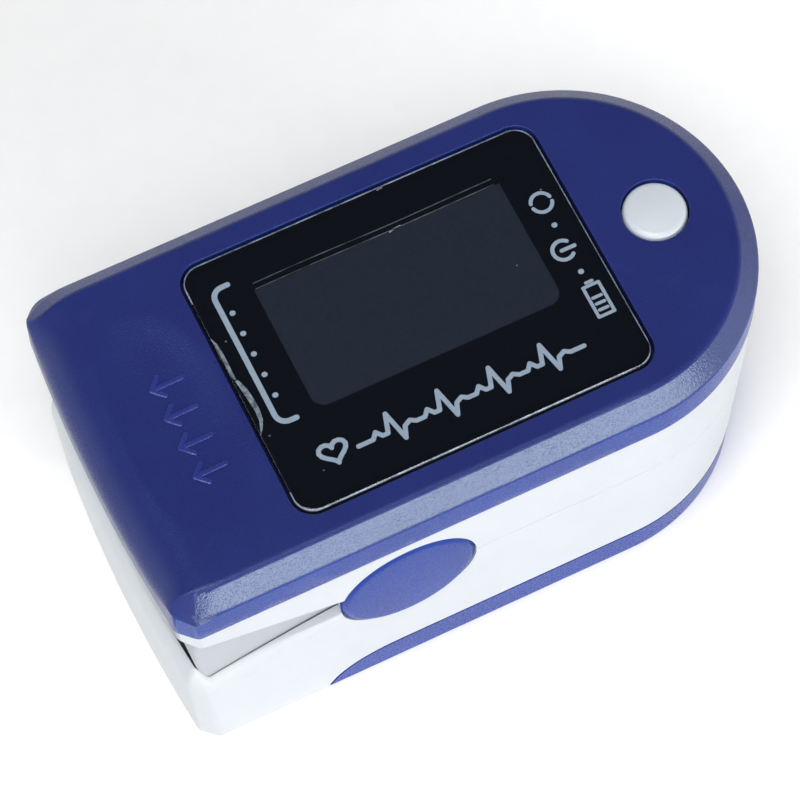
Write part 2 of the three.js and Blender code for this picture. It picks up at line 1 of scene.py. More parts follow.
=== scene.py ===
"""Looks of a fingertip pulse oximeter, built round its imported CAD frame. Lengths here are in millimetres."""
import json
import math

import bmesh
import bpy
from mathutils import Matrix, Vector


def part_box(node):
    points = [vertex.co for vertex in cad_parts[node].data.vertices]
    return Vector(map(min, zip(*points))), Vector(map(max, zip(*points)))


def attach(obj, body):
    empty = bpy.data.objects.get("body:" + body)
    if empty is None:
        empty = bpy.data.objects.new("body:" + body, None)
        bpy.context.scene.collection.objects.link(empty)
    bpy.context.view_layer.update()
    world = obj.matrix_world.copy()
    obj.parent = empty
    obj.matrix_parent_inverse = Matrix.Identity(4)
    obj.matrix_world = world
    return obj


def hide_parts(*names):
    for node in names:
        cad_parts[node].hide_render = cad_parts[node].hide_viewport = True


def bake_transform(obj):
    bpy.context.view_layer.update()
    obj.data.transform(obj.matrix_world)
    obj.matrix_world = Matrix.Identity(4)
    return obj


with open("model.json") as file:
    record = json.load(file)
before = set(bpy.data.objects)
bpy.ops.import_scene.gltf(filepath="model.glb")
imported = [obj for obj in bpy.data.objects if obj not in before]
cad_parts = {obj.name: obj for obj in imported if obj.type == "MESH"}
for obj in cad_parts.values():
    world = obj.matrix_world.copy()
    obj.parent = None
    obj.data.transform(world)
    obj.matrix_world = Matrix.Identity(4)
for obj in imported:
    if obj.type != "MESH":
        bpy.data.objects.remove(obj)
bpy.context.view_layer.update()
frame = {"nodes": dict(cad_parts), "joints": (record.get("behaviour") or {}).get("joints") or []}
SCENE = bpy.context.scene
MM = 0.001


def box_mm(node):
    low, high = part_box(node)
    return low / MM, high / MM


# ---------- dimensions shared with the CAD model ----------
_, COVER_HIGH = box_mm("top_cover")
LENS_LOW, LENS_HIGH = box_mm("display_lens")
BUTTON_LOW, BUTTON_HIGH = box_mm("power_button")
GLASS_LOW, GLASS_HIGH = box_mm("oled_display")
BUTTON_X = (BUTTON_LOW.x + BUTTON_HIGH.x) / 2
BUTTON_R = 2.9
HALF_LENGTH = COVER_HIGH.x
HALF_WIDTH = COVER_HIGH.y
TOP_Z = COVER_HIGH.z
COVER_Z = TOP_Z - 5.5
GAP = 0.3
SEAM = 0.14  # between the jaws' outer walls
WALL = 1.5
ROUND_X = HALF_LENGTH - HALF_WIDTH
PRESS_BOW = 0.75
CORNER_CUT = 1.6
COVER_PLATE = 2.0
FAR, WIDE = 40, 20  # past the object's end and side, for solids that cut right through

HINGE_X, _, HINGE_Z = (value / MM for value in frame["joints"][0]["pos_m"])
CAP_R = 6.5
CAP_GAP = 0.06
CAP_FLOOR_Y = 16.2
SKIRT_Y = 15.4
SKIRT_IN_Y = 13.9
SKIRT_R = 20.0
SKIRT_LEAN = 1.9  # how far its press-end edge leans out at the top, and the angle where that starts
SKIRT_LEAN_FROM = math.radians(7.5)
AXLE_HOLE_R = 1.1
UPPER_WEDGE = math.radians(15.5)
LOWER_FOOT = math.radians(16.5)  # how far below the hinge the skirt reaches
FLANGE_X = HINGE_X + 7.2

TAPER_X = 0.979
TAPER_Y = 0.961
LOWER_INSET = 0.25
DOOR_Z = 4.0
DOOR_WALL = 1.4
DOOR_FRONT_X = -17.0
DOOR_RAMP_X = -10.0
DOOR_RAMP_PULL = 1.6

DECK_Z = 23.6
DECK = 1.0
TRAY_Z = 13.2
TRAY_TOP = TRAY_Z + 1
PAD_Y = 10.0
PAD_END_X = -4.5
CHANNEL = {"half_width": 8.5, "half_height": 3.5, "z": 19.0}
SENSOR_X = 8.0
COVER_SCREWS = [(-23.5, 10), (-23.5, -10), (16.5, 13.1), (16.5, -13.1)]
BAY = {"x0": -25.5, "x1": 22.5, "y": 11.2, "wall": 0.8}

# ---------- fine shape of the visible surfaces ----------
BEVEL = 1.85  # 45 degree bevel round the cover
BEVEL_LOW_R = 0.5  # rounding where it meets the side band
BEVEL_TOP_R = 0.7
ROLL_LENGTH = 4.2
ROLL_DROP = 3.6
CORNER_ROLL_DROP = 1.75
NEAR_ROUNDING = (0.4, 0.4)  # each press-end facet's rounding: the most, and its share of the corner
FAR_ROUNDING = (0.9, 0.56)
CORNER_BLEND = 1.9  # how softly the side bevel turns into the corner facet's
CREASE_POWER = 12  # how sharply the bevel and the press-end roll meet
DISH = {"x": -22.9, "half_x": 5.2, "half_y": 11.5, "depth": 0.42}
EDGE_R = 0.1  # small moulded edge radius
LENS_CORNER = 1.9
LIP_ROLL = 1.1  # how far the lower jaw's lip rolls in, and over what height
LIP_HEIGHT = 2.4
END_STEP = 1.9  # how much higher the lip is across the press end


# ---------- materials ----------
def new_material(name):
    material = bpy.data.materials.new(name)
    material.use_nodes = True
    tree = material.node_tree
    return material, tree, tree.nodes["Principled BSDF"]


def feed(tree, node, inputs):
    """Fills a node's inputs, by name or number. An output socket is linked, and anything else is stored."""
    for key, value in inputs.items():
        if isinstance(value, bpy.types.NodeSocket):
            tree.links.new(value, node.inputs[key])
        else:
            node.inputs[key].default_value = value


def add_node(tree, kind, inputs, **settings):
    node = tree.nodes.new("ShaderNode" + kind)
    for key, value in settings.items():
        setattr(node, key, value)
    feed(tree, node, inputs)
    return node


def on_object(tree):
    """Coordinates fixed to the object, whose unit is a metre."""
    return add_node(tree, "TexCoord", {}).outputs["Object"]


def noise(tree, scale, detail=3.0, roughness=0.5):
    inputs = {"Vector": on_object(tree), "Scale": scale, "Detail": detail, "Roughness": roughness}
    return add_node(tree, "TexNoise", inputs).outputs["Fac"]


def ramp(tree, fac, low, high, start=0.35, end=0.65):
    """A value or colour that goes from low to high as fac goes from start to end."""
    if isinstance(low, (int, float)):
        inputs = {"Value": fac, "From Min": start, "From Max": end, "To Min": low, "To Max": high}
        return add_node(tree, "MapRange", inputs).outputs["Result"]
    node = add_node(tree, "ValToRGB", {"Fac": fac})
    for element, place, colour in zip(node.color_ramp.elements, (start, end), (low, high)):
        element.position = place
        element.color = (*colour, 1)
    return node.outputs["Color"]


def bump(tree, height, distance):
    """A surface normal. The distance is in millimetres."""
    inputs = {"Height": height, "Distance": distance * MM, "Strength": 1.0}
    return add_node(tree, "Bump", inputs).outputs["Normal"]


def mix_colour(tree, share, low, high):
    inputs = {"Factor": share, "A": low, "B": (*high, 1)}
    return add_node(tree, "Mix", inputs, data_type="RGBA").outputs["Result"]


def calculate(tree, operation, a, b):
    return add_node(tree, "Math", {0: a, 1: b}, operation=operation).outputs["Value"]


def scaled(colour, gain, lift=0.0):
    return tuple(min(1.0, c * gain + lift) for c in colour)


def moulded_plastic(name, colour, roughness, grain=0.004, grain_scale=5200, wear=0.35, tint=0.06, specular=0.5,
                    sheen=(1, 1, 1)):
    """Spark-eroded moulded plastic: grain in the surface, slow drift in colour, and rubbed edges."""
    material, tree, shader = new_material(name)
    body = ramp(tree, noise(tree, 160, 4), scaled(colour, 1 - tint), scaled(colour, 1 + tint))
    pointed = add_node(tree, "NewGeometry", {}).outputs["Pointiness"]
    speck = noise(tree, grain_scale, 2, 0.6)
    feed(tree, shader, {
        "Base Color": mix_colour(tree, ramp(tree, pointed, 0.0, wear, 0.52, 0.62), body, scaled(colour, 1.25, 0.02)),
        "Roughness": ramp(tree, speck, roughness * 0.85, roughness * 1.15),
        "Normal": bump(tree, speck, grain * 10),
        "Specular IOR Level": specular, "Specular Tint": (*sheen, 1)})
    return material


def polish_by_y(material, y_start, y_end, ranges):
    """Changes shader values smoothly along Y, as where fingers have rubbed one side glossy."""
    tree = material.node_tree
    y = add_node(tree, "SeparateXYZ", {"Vector": on_object(tree)}).outputs["Y"]
    feed(tree, tree.nodes["Principled BSDF"], {
        name: ramp(tree, y, dull, glossy, y_start * MM, y_end * MM) for name, (dull, glossy) in ranges.items()})


def ink(name, colour):
    """Screen-printed ink with small pinholes and a little unevenness. The clear film over it takes its gloss."""
    material, tree, shader = new_material(name)
    grain = noise(tree, 2600, 2)
    body = ramp(tree, grain, scaled(colour, 0.9), colour)
    feed(tree, shader, {
        "Base Color": mix_colour(tree, specks(tree, 420, 0.05, 0.4), body, (0.14, 0.16, 0.19)),
        "Roughness": ramp(tree, grain, 0.45, 0.6), "Normal": bump(tree, grain, 0.002), "Specular IOR Level": 0})
    return material


def specks(tree, scale, size, share):
    """Sparse round dust specks. size is a share of the cell they are scattered in."""
    cells = add_node(tree, "TexVoronoi", {"Vector": on_object(tree), "Scale": scale})
    red = add_node(tree, "SeparateColor", {"Color": cells.outputs["Color"]}).outputs["Red"]
    dot = ramp(tree, cells.outputs["Distance"], 1.0, 0.0, size * 0.5, size)
    return calculate(tree, "MULTIPLY", dot, calculate(tree, "LESS_THAN", red, share))


def broken_edge(name, dark, light, scale=420):
    """An edge line, bright in some stretches and dull in others. It gives the whitish face of cut acrylic and lifted
    film, and painted glints along the lens and the window.
    """
    material, tree, shader = new_material(name)
    stretches = noise(tree, scale, 5, 0.75)
    feed(tree, shader, {
        "Base Color": ramp(tree, stretches, dark, light, 0.38, 0.62), "Roughness": ramp(tree, stretches, 0.5, 0.3),
        "Normal": bump(tree, noise(tree, 3000, 3), 0.03)})
    return material


def clear_plastic(name, tint, roughness=0.02, scratches=0.06):
    """Clear sheet: it mirrors by its angle and otherwise lets light straight through. Fine scratches blur it."""
    material, tree, shader = new_material(name)
    tree.nodes.remove(shader)
    through = add_node(tree, "BsdfTransparent", {"Color": (*tint, 1)}).outputs["BSDF"]
    streaks = ramp(tree, noise(tree, 900, 6, 0.7), roughness, roughness + scratches, 0.5, 0.8)
    mirror = add_node(tree, "BsdfGlossy", {"Color": (1, 1, 1, 1), "Roughness": streaks}).outputs["BSDF"]
    fresnel = add_node(tree, "Fresnel", {"IOR": 1.49}).outputs["Fac"]
    back = add_node(tree, "NewGeometry", {}).outputs["Backfacing"]
    amount = calculate(tree, "MULTIPLY", fresnel, calculate(tree, "SUBTRACT", 1, back))
    mix = add_node(tree, "MixShader", {"Fac": amount, 1: through, 2: mirror}).outputs["Shader"]
    feed(tree, tree.nodes["Material Output"], {"Surface": mix})
    return material


def metal(name, colour, roughness):
    material, tree, shader = new_material(name)
    grain = noise(tree, 1500, 4)
    feed(tree, shader, {
        "Base Color": ramp(tree, grain, scaled(colour, 0.85), colour),
        "Roughness": ramp(tree, grain, roughness * 0.7, roughness * 1.3),
        "Normal": bump(tree, grain, 0.004), "Metallic": 1})
    return material


def brickwork(tree, inputs, **settings):
    """A net of straight lines, 1 on a line and 0 between them."""
    return add_node(tree, "TexBrick", {"Vector": on_object(tree), **inputs}, **settings).outputs["Fac"]


def circuit_board(name):
    """Green solder mask over a faint net of copper tracks."""
    material, tree, shader = new_material(name)
    tracks = brickwork(tree, {"Scale": 260.0, "Mortar Size": 0.06})
    feed(tree, shader, {
        "Base Color": ramp(tree, tracks, (0.010, 0.085, 0.032), (0.030, 0.160, 0.060), 0.2, 0.8),
        "Roughness": ramp(tree, noise(tree, 1800), 0.28, 0.42), "Normal": bump(tree, tracks, 0.02)})
    return material


def display_glass(name):
    """Dark display glass, with its grid of dots just visible."""
    material, tree, shader = new_material(name)
    grid = brickwork(tree, {"Scale": 1400.0, "Mortar Size": 0.03, "Brick Width": 0.5}, offset=0)
    feed(tree, shader, {
        "Base Color": ramp(tree, grid, (0.024, 0.031, 0.042), (0.030, 0.039, 0.052), 0.2, 0.8),
        "Roughness": ramp(tree, noise(tree, 500), 0.1, 0.22)})
    return material


SHEEN = (0.76, 0.90, 1.0)
HAZE = (0.70, 0.87, 0.98)
BLUE_BODY = (0.0180, 0.0264, 0.142)
BLUE = moulded_plastic("blue_abs", BLUE_BODY, 0.30, 0.0028, 7000, wear=0.06, specular=0.3, sheen=HAZE)
BLUE_BEVEL = moulded_plastic("blue_abs_bevel", BLUE_BODY, 0.30, 0.0036, 5200, wear=0.06, specular=0.3, sheen=SHEEN)
polish_by_y(BLUE_BEVEL, -3.0, -13.0, {"Roughness": (0.30, 0.19), "Specular IOR Level": (0.3, 1.0)})
# Painted highlight: a little lighter than the cover's blue, standing in for light caught on the raised marks' edges.
BLUE_MARK = moulded_plastic("blue_abs_mark", (0.0200, 0.0320, 0.205), 0.3, 0.002, 7000, wear=0.1, specular=0.5)
# Painted side light: a lighter, bluer copy of the cover's plastic for upright faces, the door and the caps. It
# stands in for the stronger light on the sides. Its finer grain is its own.
BLUE_SMOOTH_SIDE_LIGHT = moulded_plastic("blue_abs_smooth_side_light", (0.013, 0.039, 0.245), 0.28, 0.0002, specular=0.15, sheen=SHEEN)
WHITE = moulded_plastic("white_abs", (0.525, 0.555, 0.585), 0.38, grain=0.0015, tint=0.015, wear=0.1)
# Painted shade: a darker copy of the white plastic for the skirt plates, which sit recessed under the frame's
# overhang.
WHITE_PAINTED_SHADE = moulded_plastic("white_abs_painted_shade", (0.39, 0.415, 0.45), 0.5, grain=0.0015, tint=0.015, wear=0.1)
# Painted light: a lighter white than the frame's for the same plastic. It makes up for the upward-facing button
# getting less light than the side walls.
BUTTON_WHITE = moulded_plastic("button_white", (0.56, 0.605, 0.66), 0.35, grain=0.001, tint=0.015, wear=0.1)
SILICONE = moulded_plastic("grey_silicone", (0.30, 0.33, 0.37), 0.62, grain=0.003, tint=0.05)
BLACK = moulded_plastic("black_plastic", (0.008, 0.009, 0.011), 0.30, grain=0.002)
CHIP = moulded_plastic("chip_resin", (0.018, 0.019, 0.021), 0.5, grain=0.003)
MASK_INK = ink("black_mask_ink", (0.0060, 0.0075, 0.0105))
PRINT_INK = ink("grey_print_ink", (0.335, 0.405, 0.490))
SMOKED = ink("smoked_acrylic", (0.0215, 0.0275, 0.0410))
CLEAR = clear_plastic("clear_acrylic", (0.97, 0.98, 0.99))
WINDOW = clear_plastic("window_acrylic", (0.80, 0.84, 0.88), 0.08)
# Partly painted highlight: the whitish face of cut acrylic, made brighter to stand in for the glint on the lens
# film's chamfer.
CUT_ACRYLIC_GLINT = broken_edge("cut_acrylic_glint", (0.05, 0.06, 0.09), (0.36, 0.41, 0.49))
LIFTED_FILM = broken_edge("lifted_film", (0.045, 0.060, 0.078), (0.24, 0.29, 0.34), 1400)
# Painted glint: faint light lines at the window's far side, where glass edges beneath catch the light.
SEAM_GLINT = broken_edge("window_seam_glint", (0.018, 0.024, 0.030), (0.12, 0.14, 0.155))
STEEL = metal("plated_steel", (0.58, 0.60, 0.63), 0.28)
BOARD = circuit_board("solder_mask")
FLEX = moulded_plastic("polyimide", (0.34, 0.15, 0.030), 0.35, grain=0.001)
CELL = metal("cell_jacket", (0.10, 0.22, 0.13), 0.35)
DISPLAY = display_glass("display_glass")


# ---------- mesh helpers ----------
def to_object(name, bm):
    """Makes an object of a closed mesh drawn in millimetres."""
    mesh = bpy.data.meshes.new(name)
    bmesh.ops.remove_doubles(bm, verts=bm.verts, dist=1e-4)
    bmesh.ops.recalc_face_normals(bm, faces=bm.faces)
    bmesh.ops.scale(bm, verts=bm.verts, vec=(MM, MM, MM))
    bm.to_mesh(mesh)
    bm.free()
    made = bpy.data.objects.new(name, mesh)
    SCENE.collection.objects.link(made)
    return made


def loft(name, rings, closed=False):
    """A solid through rings of equally many points. Its two end rings are capped, or joined where closed."""
    bm = bmesh.new()
    rows = [[bm.verts.new(point) for point in ring] for ring in rings]
    count = len(rows[0])
    pairs = list(zip(rows, rows[1:]))
    if closed:
        pairs.append((rows[-1], rows[0]))
    for low, high in pairs:
        for i in range(count):
            j = (i + 1) % count
            bm.faces.new((low[i], low[j], high[j], high[i]))
    if not closed:
        bm.faces.new(rows[0])
        bm.faces.new(rows[-1])
    return to_object(name, bm)


def lathe(name, profile, place, segments=96):
    """A solid turned about an axis. profile holds (radius, height) from axis to axis, and place puts it in XYZ."""
    bm = bmesh.new()
    rows = []
    for radius, height in profile:
        points = circle(0, 0, radius, segments) if radius > 1e-6 else [(0, 0)]
        rows.append([bm.verts.new(place(u, v, height)) for u, v in points])
    for low, high in zip(rows, rows[1:]):
        for i in range(segments):
            j = (i + 1) % segments
            corners = [low[i % len(low)], low[j % len(low)], high[j % len(high)], high[i % len(high)]]
            face = list(dict.fromkeys(corners))
            if len(face) > 2:
                bm.faces.new(face)
    return to_object(name, bm)


def quarter_turn(steps, first=0):
    """(1 - cos, 1 - sin) at even steps through a quarter turn."""
    angles = [math.pi / 2 * i / steps for i in range(first, steps + 1)]
    return [(1 - math.cos(a), 1 - math.sin(a)) for a in angles]


def domed_top(radius, rim, top, crown, steps):
    """A lathe's profile over a rounded rim and a slight crown, from the side wall to the axis."""
    shoulder = top - crown
    shares = [1 - i / steps for i in range(1, steps + 1)]
    return [(radius - rim * u, shoulder - rim * v) for u, v in quarter_turn(8, 1)] + [
        ((radius - rim) * share, shoulder + crown * (1 - share**2)) for share in shares]


def upright(x, y):
    return lambda u, v, w: (x + u, y + v, w)


def across(x, z, side=1):
    """Places a lathe's axis along Y."""
    return lambda u, v, w: (x + u, side * w, z + v)


def prism(name, outline, z0, z1):
    return loft(name, [[(x, y, z) for x, y in outline] for z in (z0, z1)])


def along_y(name, outline, y0, y1):
    """An XZ outline carried along Y."""
    return loft(name, [[(x, y, z) for x, z in outline] for y in (y0, y1)])


def along_x(name, outline, x0, x1):
    """A YZ outline carried along X."""
    return loft(name, [[(x, y, z) for y, z in outline] for x in (x0, x1)])


def block(name, x0, x1, y0, y1, z0, z1):
    return prism(name, [(x0, y0), (x1, y0), (x1, y1), (x0, y1)], z0, z1)


def pillar(name, x, y, radius, z0, z1, segments=48):
    return prism(name, circle(x, y, radius, segments), z0, z1)


def screw_pillars(name, radius, z0, z1, segments=24):
    return [pillar(name, x, y, radius, z0, z1, segments) for x, y in COVER_SCREWS]


def both_sides(name, outline, y0, y1, sides=(-1, 1)):
    """An XZ outline carried along Y on each side of the object."""
    return [along_y(name, outline, *sorted((side * y0, side * y1))) for side in sides]


def circle(x, y, radius, segments=48):
    angles = [2 * math.pi * i / segments for i in range(segments)]
    return [(x + radius * math.cos(a), y + radius * math.sin(a)) for a in angles]


def arc(x, y, radius, start, end, steps):
    """Points on an arc, with its angles in degrees."""
    angles = [math.radians(start + (end - start) * i / steps) for i in range(steps + 1)]
    return [(x + radius * math.cos(a), y + radius * math.sin(a)) for a in angles]


def rounded_rectangle(x, y, half_x, half_y, corner, steps=10):
    points = []
    for sx, sy, start in ((1, -1, -90), (1, 1, 0), (-1, 1, 90), (-1, -1, 180)):
        points += arc(x + sx * (half_x - corner), y + sy * (half_y - corner), corner, start, start + 90, steps)
    return points


def combine(target, operation, *others):
    """Booleans the others into the target and deletes them."""
    for other in others:
        modifier = target.modifiers.new("boolean", "BOOLEAN")
        modifier.operation = operation
        modifier.solver = "MANIFOLD"
        modifier.object = other
    graph = bpy.context.evaluated_depsgraph_get()
    mesh = bpy.data.meshes.new_from_object(target.evaluated_get(graph))
    target.modifiers.clear()
    target.data = mesh
    for other in others:
        bpy.data.objects.remove(other)
    return target


def cut(target, *others):
    return combine(target, "DIFFERENCE", *others)


def join(target, *others):
    return combine(target, "UNION", *others)


def keep(target, *others):
    return combine(target, "INTERSECT", *others)


def edit_mesh(made, *changes):
    """Applies bmesh changes to an object's mesh."""
    bm = bmesh.new()
    bm.from_mesh(made.data)
    for change in changes:
        change(bm)
    bm.to_mesh(made.data)
    bm.free()


def clear_flats(made, angle):
    """Merges the facets of flat faces, so that no sliver is left to bend their shading."""
    edit_mesh(
        made, lambda bm: bmesh.ops.remove_doubles(bm, verts=bm.verts, dist=2e-6),
        lambda bm: bmesh.ops.dissolve_limit(
            bm, angle_limit=math.radians(angle), verts=bm.verts, edges=bm.edges, delimit={"NORMAL"}))


def soften(made, width, segments=2):
    """Rounds every sharp edge."""
    def is_sharp(edge):
        return edge.is_manifold and edge.calc_face_angle(0) > math.radians(35)

    clear_flats(made, 0.6)
    edit_mesh(
        made, lambda bm: bmesh.ops.bevel(
            bm, geom=[edge for edge in bm.edges if is_sharp(edge)], offset=width * MM, offset_type="OFFSET",
            segments=segments, profile=0.5, affect="EDGES", clamp_overlap=True),
        lambda bm: bmesh.ops.remove_doubles(bm, verts=bm.verts, dist=1e-6))


def dress(made, material, angle):
    made.data.materials.clear()
    made.data.materials.append(material)
    made.data.shade_smooth()
    made.data.set_sharp_from_angle(angle=math.radians(angle))


def finish_piece(made, name, material, body, nodes=(), slot=None, angle=40):
    made.name = made.data.name = name
    dress(made, material, angle)
    weighted = made.modifiers.new("weighted", "WEIGHTED_NORMAL")
    weighted.keep_sharp = True
    weighted.mode = "FACE_AREA"
    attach(made, body)
    if nodes:
        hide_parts(*nodes)


# ---------- plan of the body ----------
def bezier(start, pull, end, steps):
    """Points on the curve from start to end whose tangents meet at pull. All three are vectors."""
    shares = [i / steps for i in range(steps + 1)]
    return [tuple(start * (1 - t) ** 2 + pull * 2 * t * (1 - t) + end * t * t) for t in shares]


def bend_corner(before, corner, after, radius):
    """Points that round off a corner."""
    a, b, c = Vector(before), Vector(corner), Vector(after)
    return bezier(b + (a - b).normalized() * radius, b, b + (c - b).normalized() * radius, 5)


def body_plan(inset=0.0, corner=None, press=28, side=60, half_arc=40):
    """Plan outline, counter-clockwise from the middle of the press end, moved inwards by inset."""
    half = HALF_WIDTH - inset
    if corner is None:
        corner = max(0.3, CORNER_CUT - 0.586 * inset)
    edge_x = -HALF_LENGTH + PRESS_BOW + inset
    flat = half - corner
    bow = [(edge_x - PRESS_BOW * (1 - (i / press) ** 2), -flat * i / press) for i in range(press)]
    first, second = (edge_x, -flat), (edge_x + corner, -half)

    def side_line(most, share):
        """One side, from the bow to the round end."""
        rounding = min(most, corner * share)
        facet = bend_corner(bow[-1], first, second, rounding)
        facet += bend_corner(first, second, (ROUND_X, -half), rounding)
        start_x = facet[-1][0]
        return facet + [(start_x + (ROUND_X - start_x) * i / side, -half) for i in range(1, side)]

    lower = bow + side_line(*NEAR_ROUNDING) + arc(ROUND_X, 0, half, -90, 0, half_arc)
    mirrored = bow + side_line(*FAR_ROUNDING) + arc(ROUND_X, 0, half, -90, 0, half_arc)
    return lower + [(x, -y) for x, y in reversed(mirrored[1:-1])]


def tapered(point, z):
    """A plan point of the lower jaw, which narrows evenly from the seam down to the base."""
    rise = z / HINGE_Z
    return (point[0] * (TAPER_X + (1 - TAPER_X) * rise), point[1] * (TAPER_Y + (1 - TAPER_Y) * rise))


def ring(points, z):
    return [(x, y, z) for x, y in points]


def tapered_ring(points, z):
    return [(*tapered(point, z), z) for point in points]


def lower_ring(inset, z, **more):
    """The lower jaw's outline at a height, moved inwards from its outer wall by inset."""
    return tapered_ring(body_plan(LOWER_INSET + inset, **more), z)


def tapered_solid(name, inset, z0, z1, steps=6):
    heights = [z0 + (z1 - z0) * i / steps for i in range(steps + 1)]
    return loft(name, [lower_ring(inset, z) for z in heights])


def smooth_step(value, start, end):
    t = min(1.0, max(0.0, (value - start) / (end - start)))
    return t * t * (3 - 2 * t)


# ---------- top cover ----------
def side_distance(x, y):
    """Distance in from the cover's sides, corner facets and round end."""
    if x > ROUND_X:
        return HALF_WIDTH - math.hypot(x - ROUND_X, y)
    side = HALF_WIDTH - abs(y)
    facet = (x + HALF_LENGTH - PRESS_BOW + side - CORNER_CUT) / math.sqrt(2)
    blend = max(0.0, CORNER_BLEND - abs(side - facet)) / CORNER_BLEND
    return min(side, facet) - CORNER_BLEND * blend**2 / 4


def press_distance(x, y):
    """Distance in from the bowed press end."""
    flat = HALF_WIDTH - CORNER_CUT
    return x + HALF_LENGTH - PRESS_BOW * (y / flat) ** 2


def bevel_drop(distance):
    """How far the bevel lies below the top at a distance in from the side, with both its edges rounded."""
    reach = math.tan(math.pi / 8)
    low_start = BEVEL + reach * BEVEL_LOW_R
    top_start = BEVEL - reach * BEVEL_TOP_R * math.cos(math.pi / 4)
    top_end = BEVEL + reach * BEVEL_TOP_R
    if distance < 0:
        return low_start - distance
    if distance < BEVEL_LOW_R * (1 - math.cos(math.pi / 4)):
        return low_start - math.sqrt(BEVEL_LOW_R**2 - (BEVEL_LOW_R - distance) ** 2)
    if distance < top_start:
        return BEVEL - distance
    if distance < top_end:
        return BEVEL_TOP_R - math.sqrt(BEVEL_TOP_R**2 - (top_end - distance) ** 2)
    return 0.0


def roll_drop(distance, y):
    """The press end's roll. It is shallower at the corners, so that the bevel runs on round them."""
    if distance >= ROLL_LENGTH:
        return 0.0
    share = 1 - max(0.0, distance) / ROLL_LENGTH
    depth = ROLL_DROP + (CORNER_ROLL_DROP - ROLL_DROP) * smooth_step(abs(y), 11.5, HALF_WIDTH - CORNER_CUT)
    return depth * (1 - math.sqrt(1 - share**2))


def dish_drop(x, y):
    """The shallow hollow for a fingertip, with a soft rim."""
    u = (x - DISH["x"]) / DISH["half_x"]
    v = y / DISH["half_y"]
    share = max(0.0, 1 - (abs(u) ** 2.5 + abs(v) ** 2.5))
    return DISH["depth"] * share * share * (3 - 2 * share)


def cover_height(x, y):
    bevel, roll = bevel_drop(side_distance(x, y)), roll_drop(press_distance(x, y), y)
    return TOP_Z - (bevel**CREASE_POWER + roll**CREASE_POWER) ** (1 / CREASE_POWER) - dish_drop(x, y)


def lens_pocket():
    """What is cut away for the lens: its recess with a rounded rim, and the opening inside the ledge."""
    floor, ledge = LENS_LOW.z - GAP, 1.0
    return lens_solid(
        (-ledge, TOP_Z - 4), (-ledge, floor), (GAP, floor), *[(GAP + e, z) for e, z in flare(TOP_Z)])


def flare(z_top, radius=EDGE_R, steps=4):
    """(outward offset, height) pairs that round the rim of a cut as it comes out of a face at z_top."""
    return [(radius * u, z_top - radius * v) for u, v in quarter_turn(steps)] + [(radius, z_top + 1)]


def button_hole():
    radius = BUTTON_R + 0.12
    profile = [(0, TOP_Z - 4), (radius, TOP_Z - 4)] + [(radius + e, z) for e, z in flare(TOP_Z)]
    return lathe("button_cut", profile + [(0, TOP_Z + 1)], upright(BUTTON_X, 0))


def make_cover():
    edge = 0.15
    under = TOP_Z - COVER_PLATE
    insets = [0.0, 0.012, 0.045, 0.1, 0.17, 0.25] + [0.25 + 0.17 * i for i in range(1, 25)]
    insets += [4.4 + 0.3 * i for i in range(39)]
    rings = [ring(body_plan(WALL + 14), under)]
    rings += [ring(body_plan(WALL), z) for z in (under, COVER_Z)]
    rings += [ring(body_plan(edge), COVER_Z), ring(body_plan(edge * 0.3), COVER_Z + edge * 0.3)]
    rings += [ring(body_plan(0), z) for z in (COVER_Z + edge, COVER_Z + 1.2)]
    rings += [[(x, y, cover_height(x, y)) for x, y in body_plan(inset)] for inset in insets]
    cover = loft("cover", rings)
    cut(cover, lens_pocket(), button_hole())
    join(cover, *screw_pillars("boss", 1.6, DECK_Z + DECK + GAP, under + 0.1, 48))
    cut(cover, *screw_pillars("screw_hole", 0.85, DECK_Z, under - 0.6))
    clear_flats(cover, 0.02)
    finish_piece(cover, "cover_shell", BLUE, "upper_jaw", ["top_cover"], "blue_abs")
    cover.data.materials.append(BLUE_SMOOTH_SIDE_LIGHT)
    cover.data.materials.append(BLUE_BEVEL)
    # Upright faces below the top take the lighter blue of painted side light. Near-side bevel faces, other than the
    # corner facets, take the bevel plastic.
    for face in cover.data.polygons:
        by_corner = face.center.x / MM < 3 * CORNER_CUT - HALF_LENGTH
        facet = by_corner and abs(face.normal.y) < -2.3 * face.normal.x
        upright_below = 0.05 if by_corner and face.center.y > 0 else 0.35
        below_top = face.center.z / MM < TOP_Z - 0.3
        if face.normal.x > -0.85 and below_top and face.normal.z < upright_below:
            face.material_index = 1
        elif below_top and face.normal.y < -0.02 and not facet:
            face.material_index = 2


def capsule(start, end, width, height, sink=0.05, steps=8, profile=((1, 0), (0.92, 0.6), (0.6, 0.94), (0.2, 1))):
    """A short raised stroke with round ends. start and end are XYZ points on the surface under it."""
    a, b = Vector(start), Vector(end)
    along = Vector((b.x - a.x, b.y - a.y, 0))
    turn = math.degrees(math.atan2(along.y, along.x))
    rings = []
    for share, rise in ((profile[0][0], None), *profile):
        points = []
        for centre, first in ((b, turn - 90), (a, turn + 90)):
            z = centre.z - sink if rise is None else centre.z + height * rise
            points += [(x, y, z) for x, y in arc(centre.x, centre.y, width / 2 * share, first, first + 180, steps)]
        rings.append(points)
    return loft("stroke", rings)


def strokes(paths, width, height, surface, **shape):
    """Joins the strokes along every path into one relief on the surface."""
    parts = []
    for path in paths:
        for a, b in zip(path, path[1:]):
            parts.append(capsule((*a, surface(*a)), (*b, surface(*b)), width, height, **shape))
    return join(parts[0], *parts[1:]) if len(parts) > 1 else parts[0]


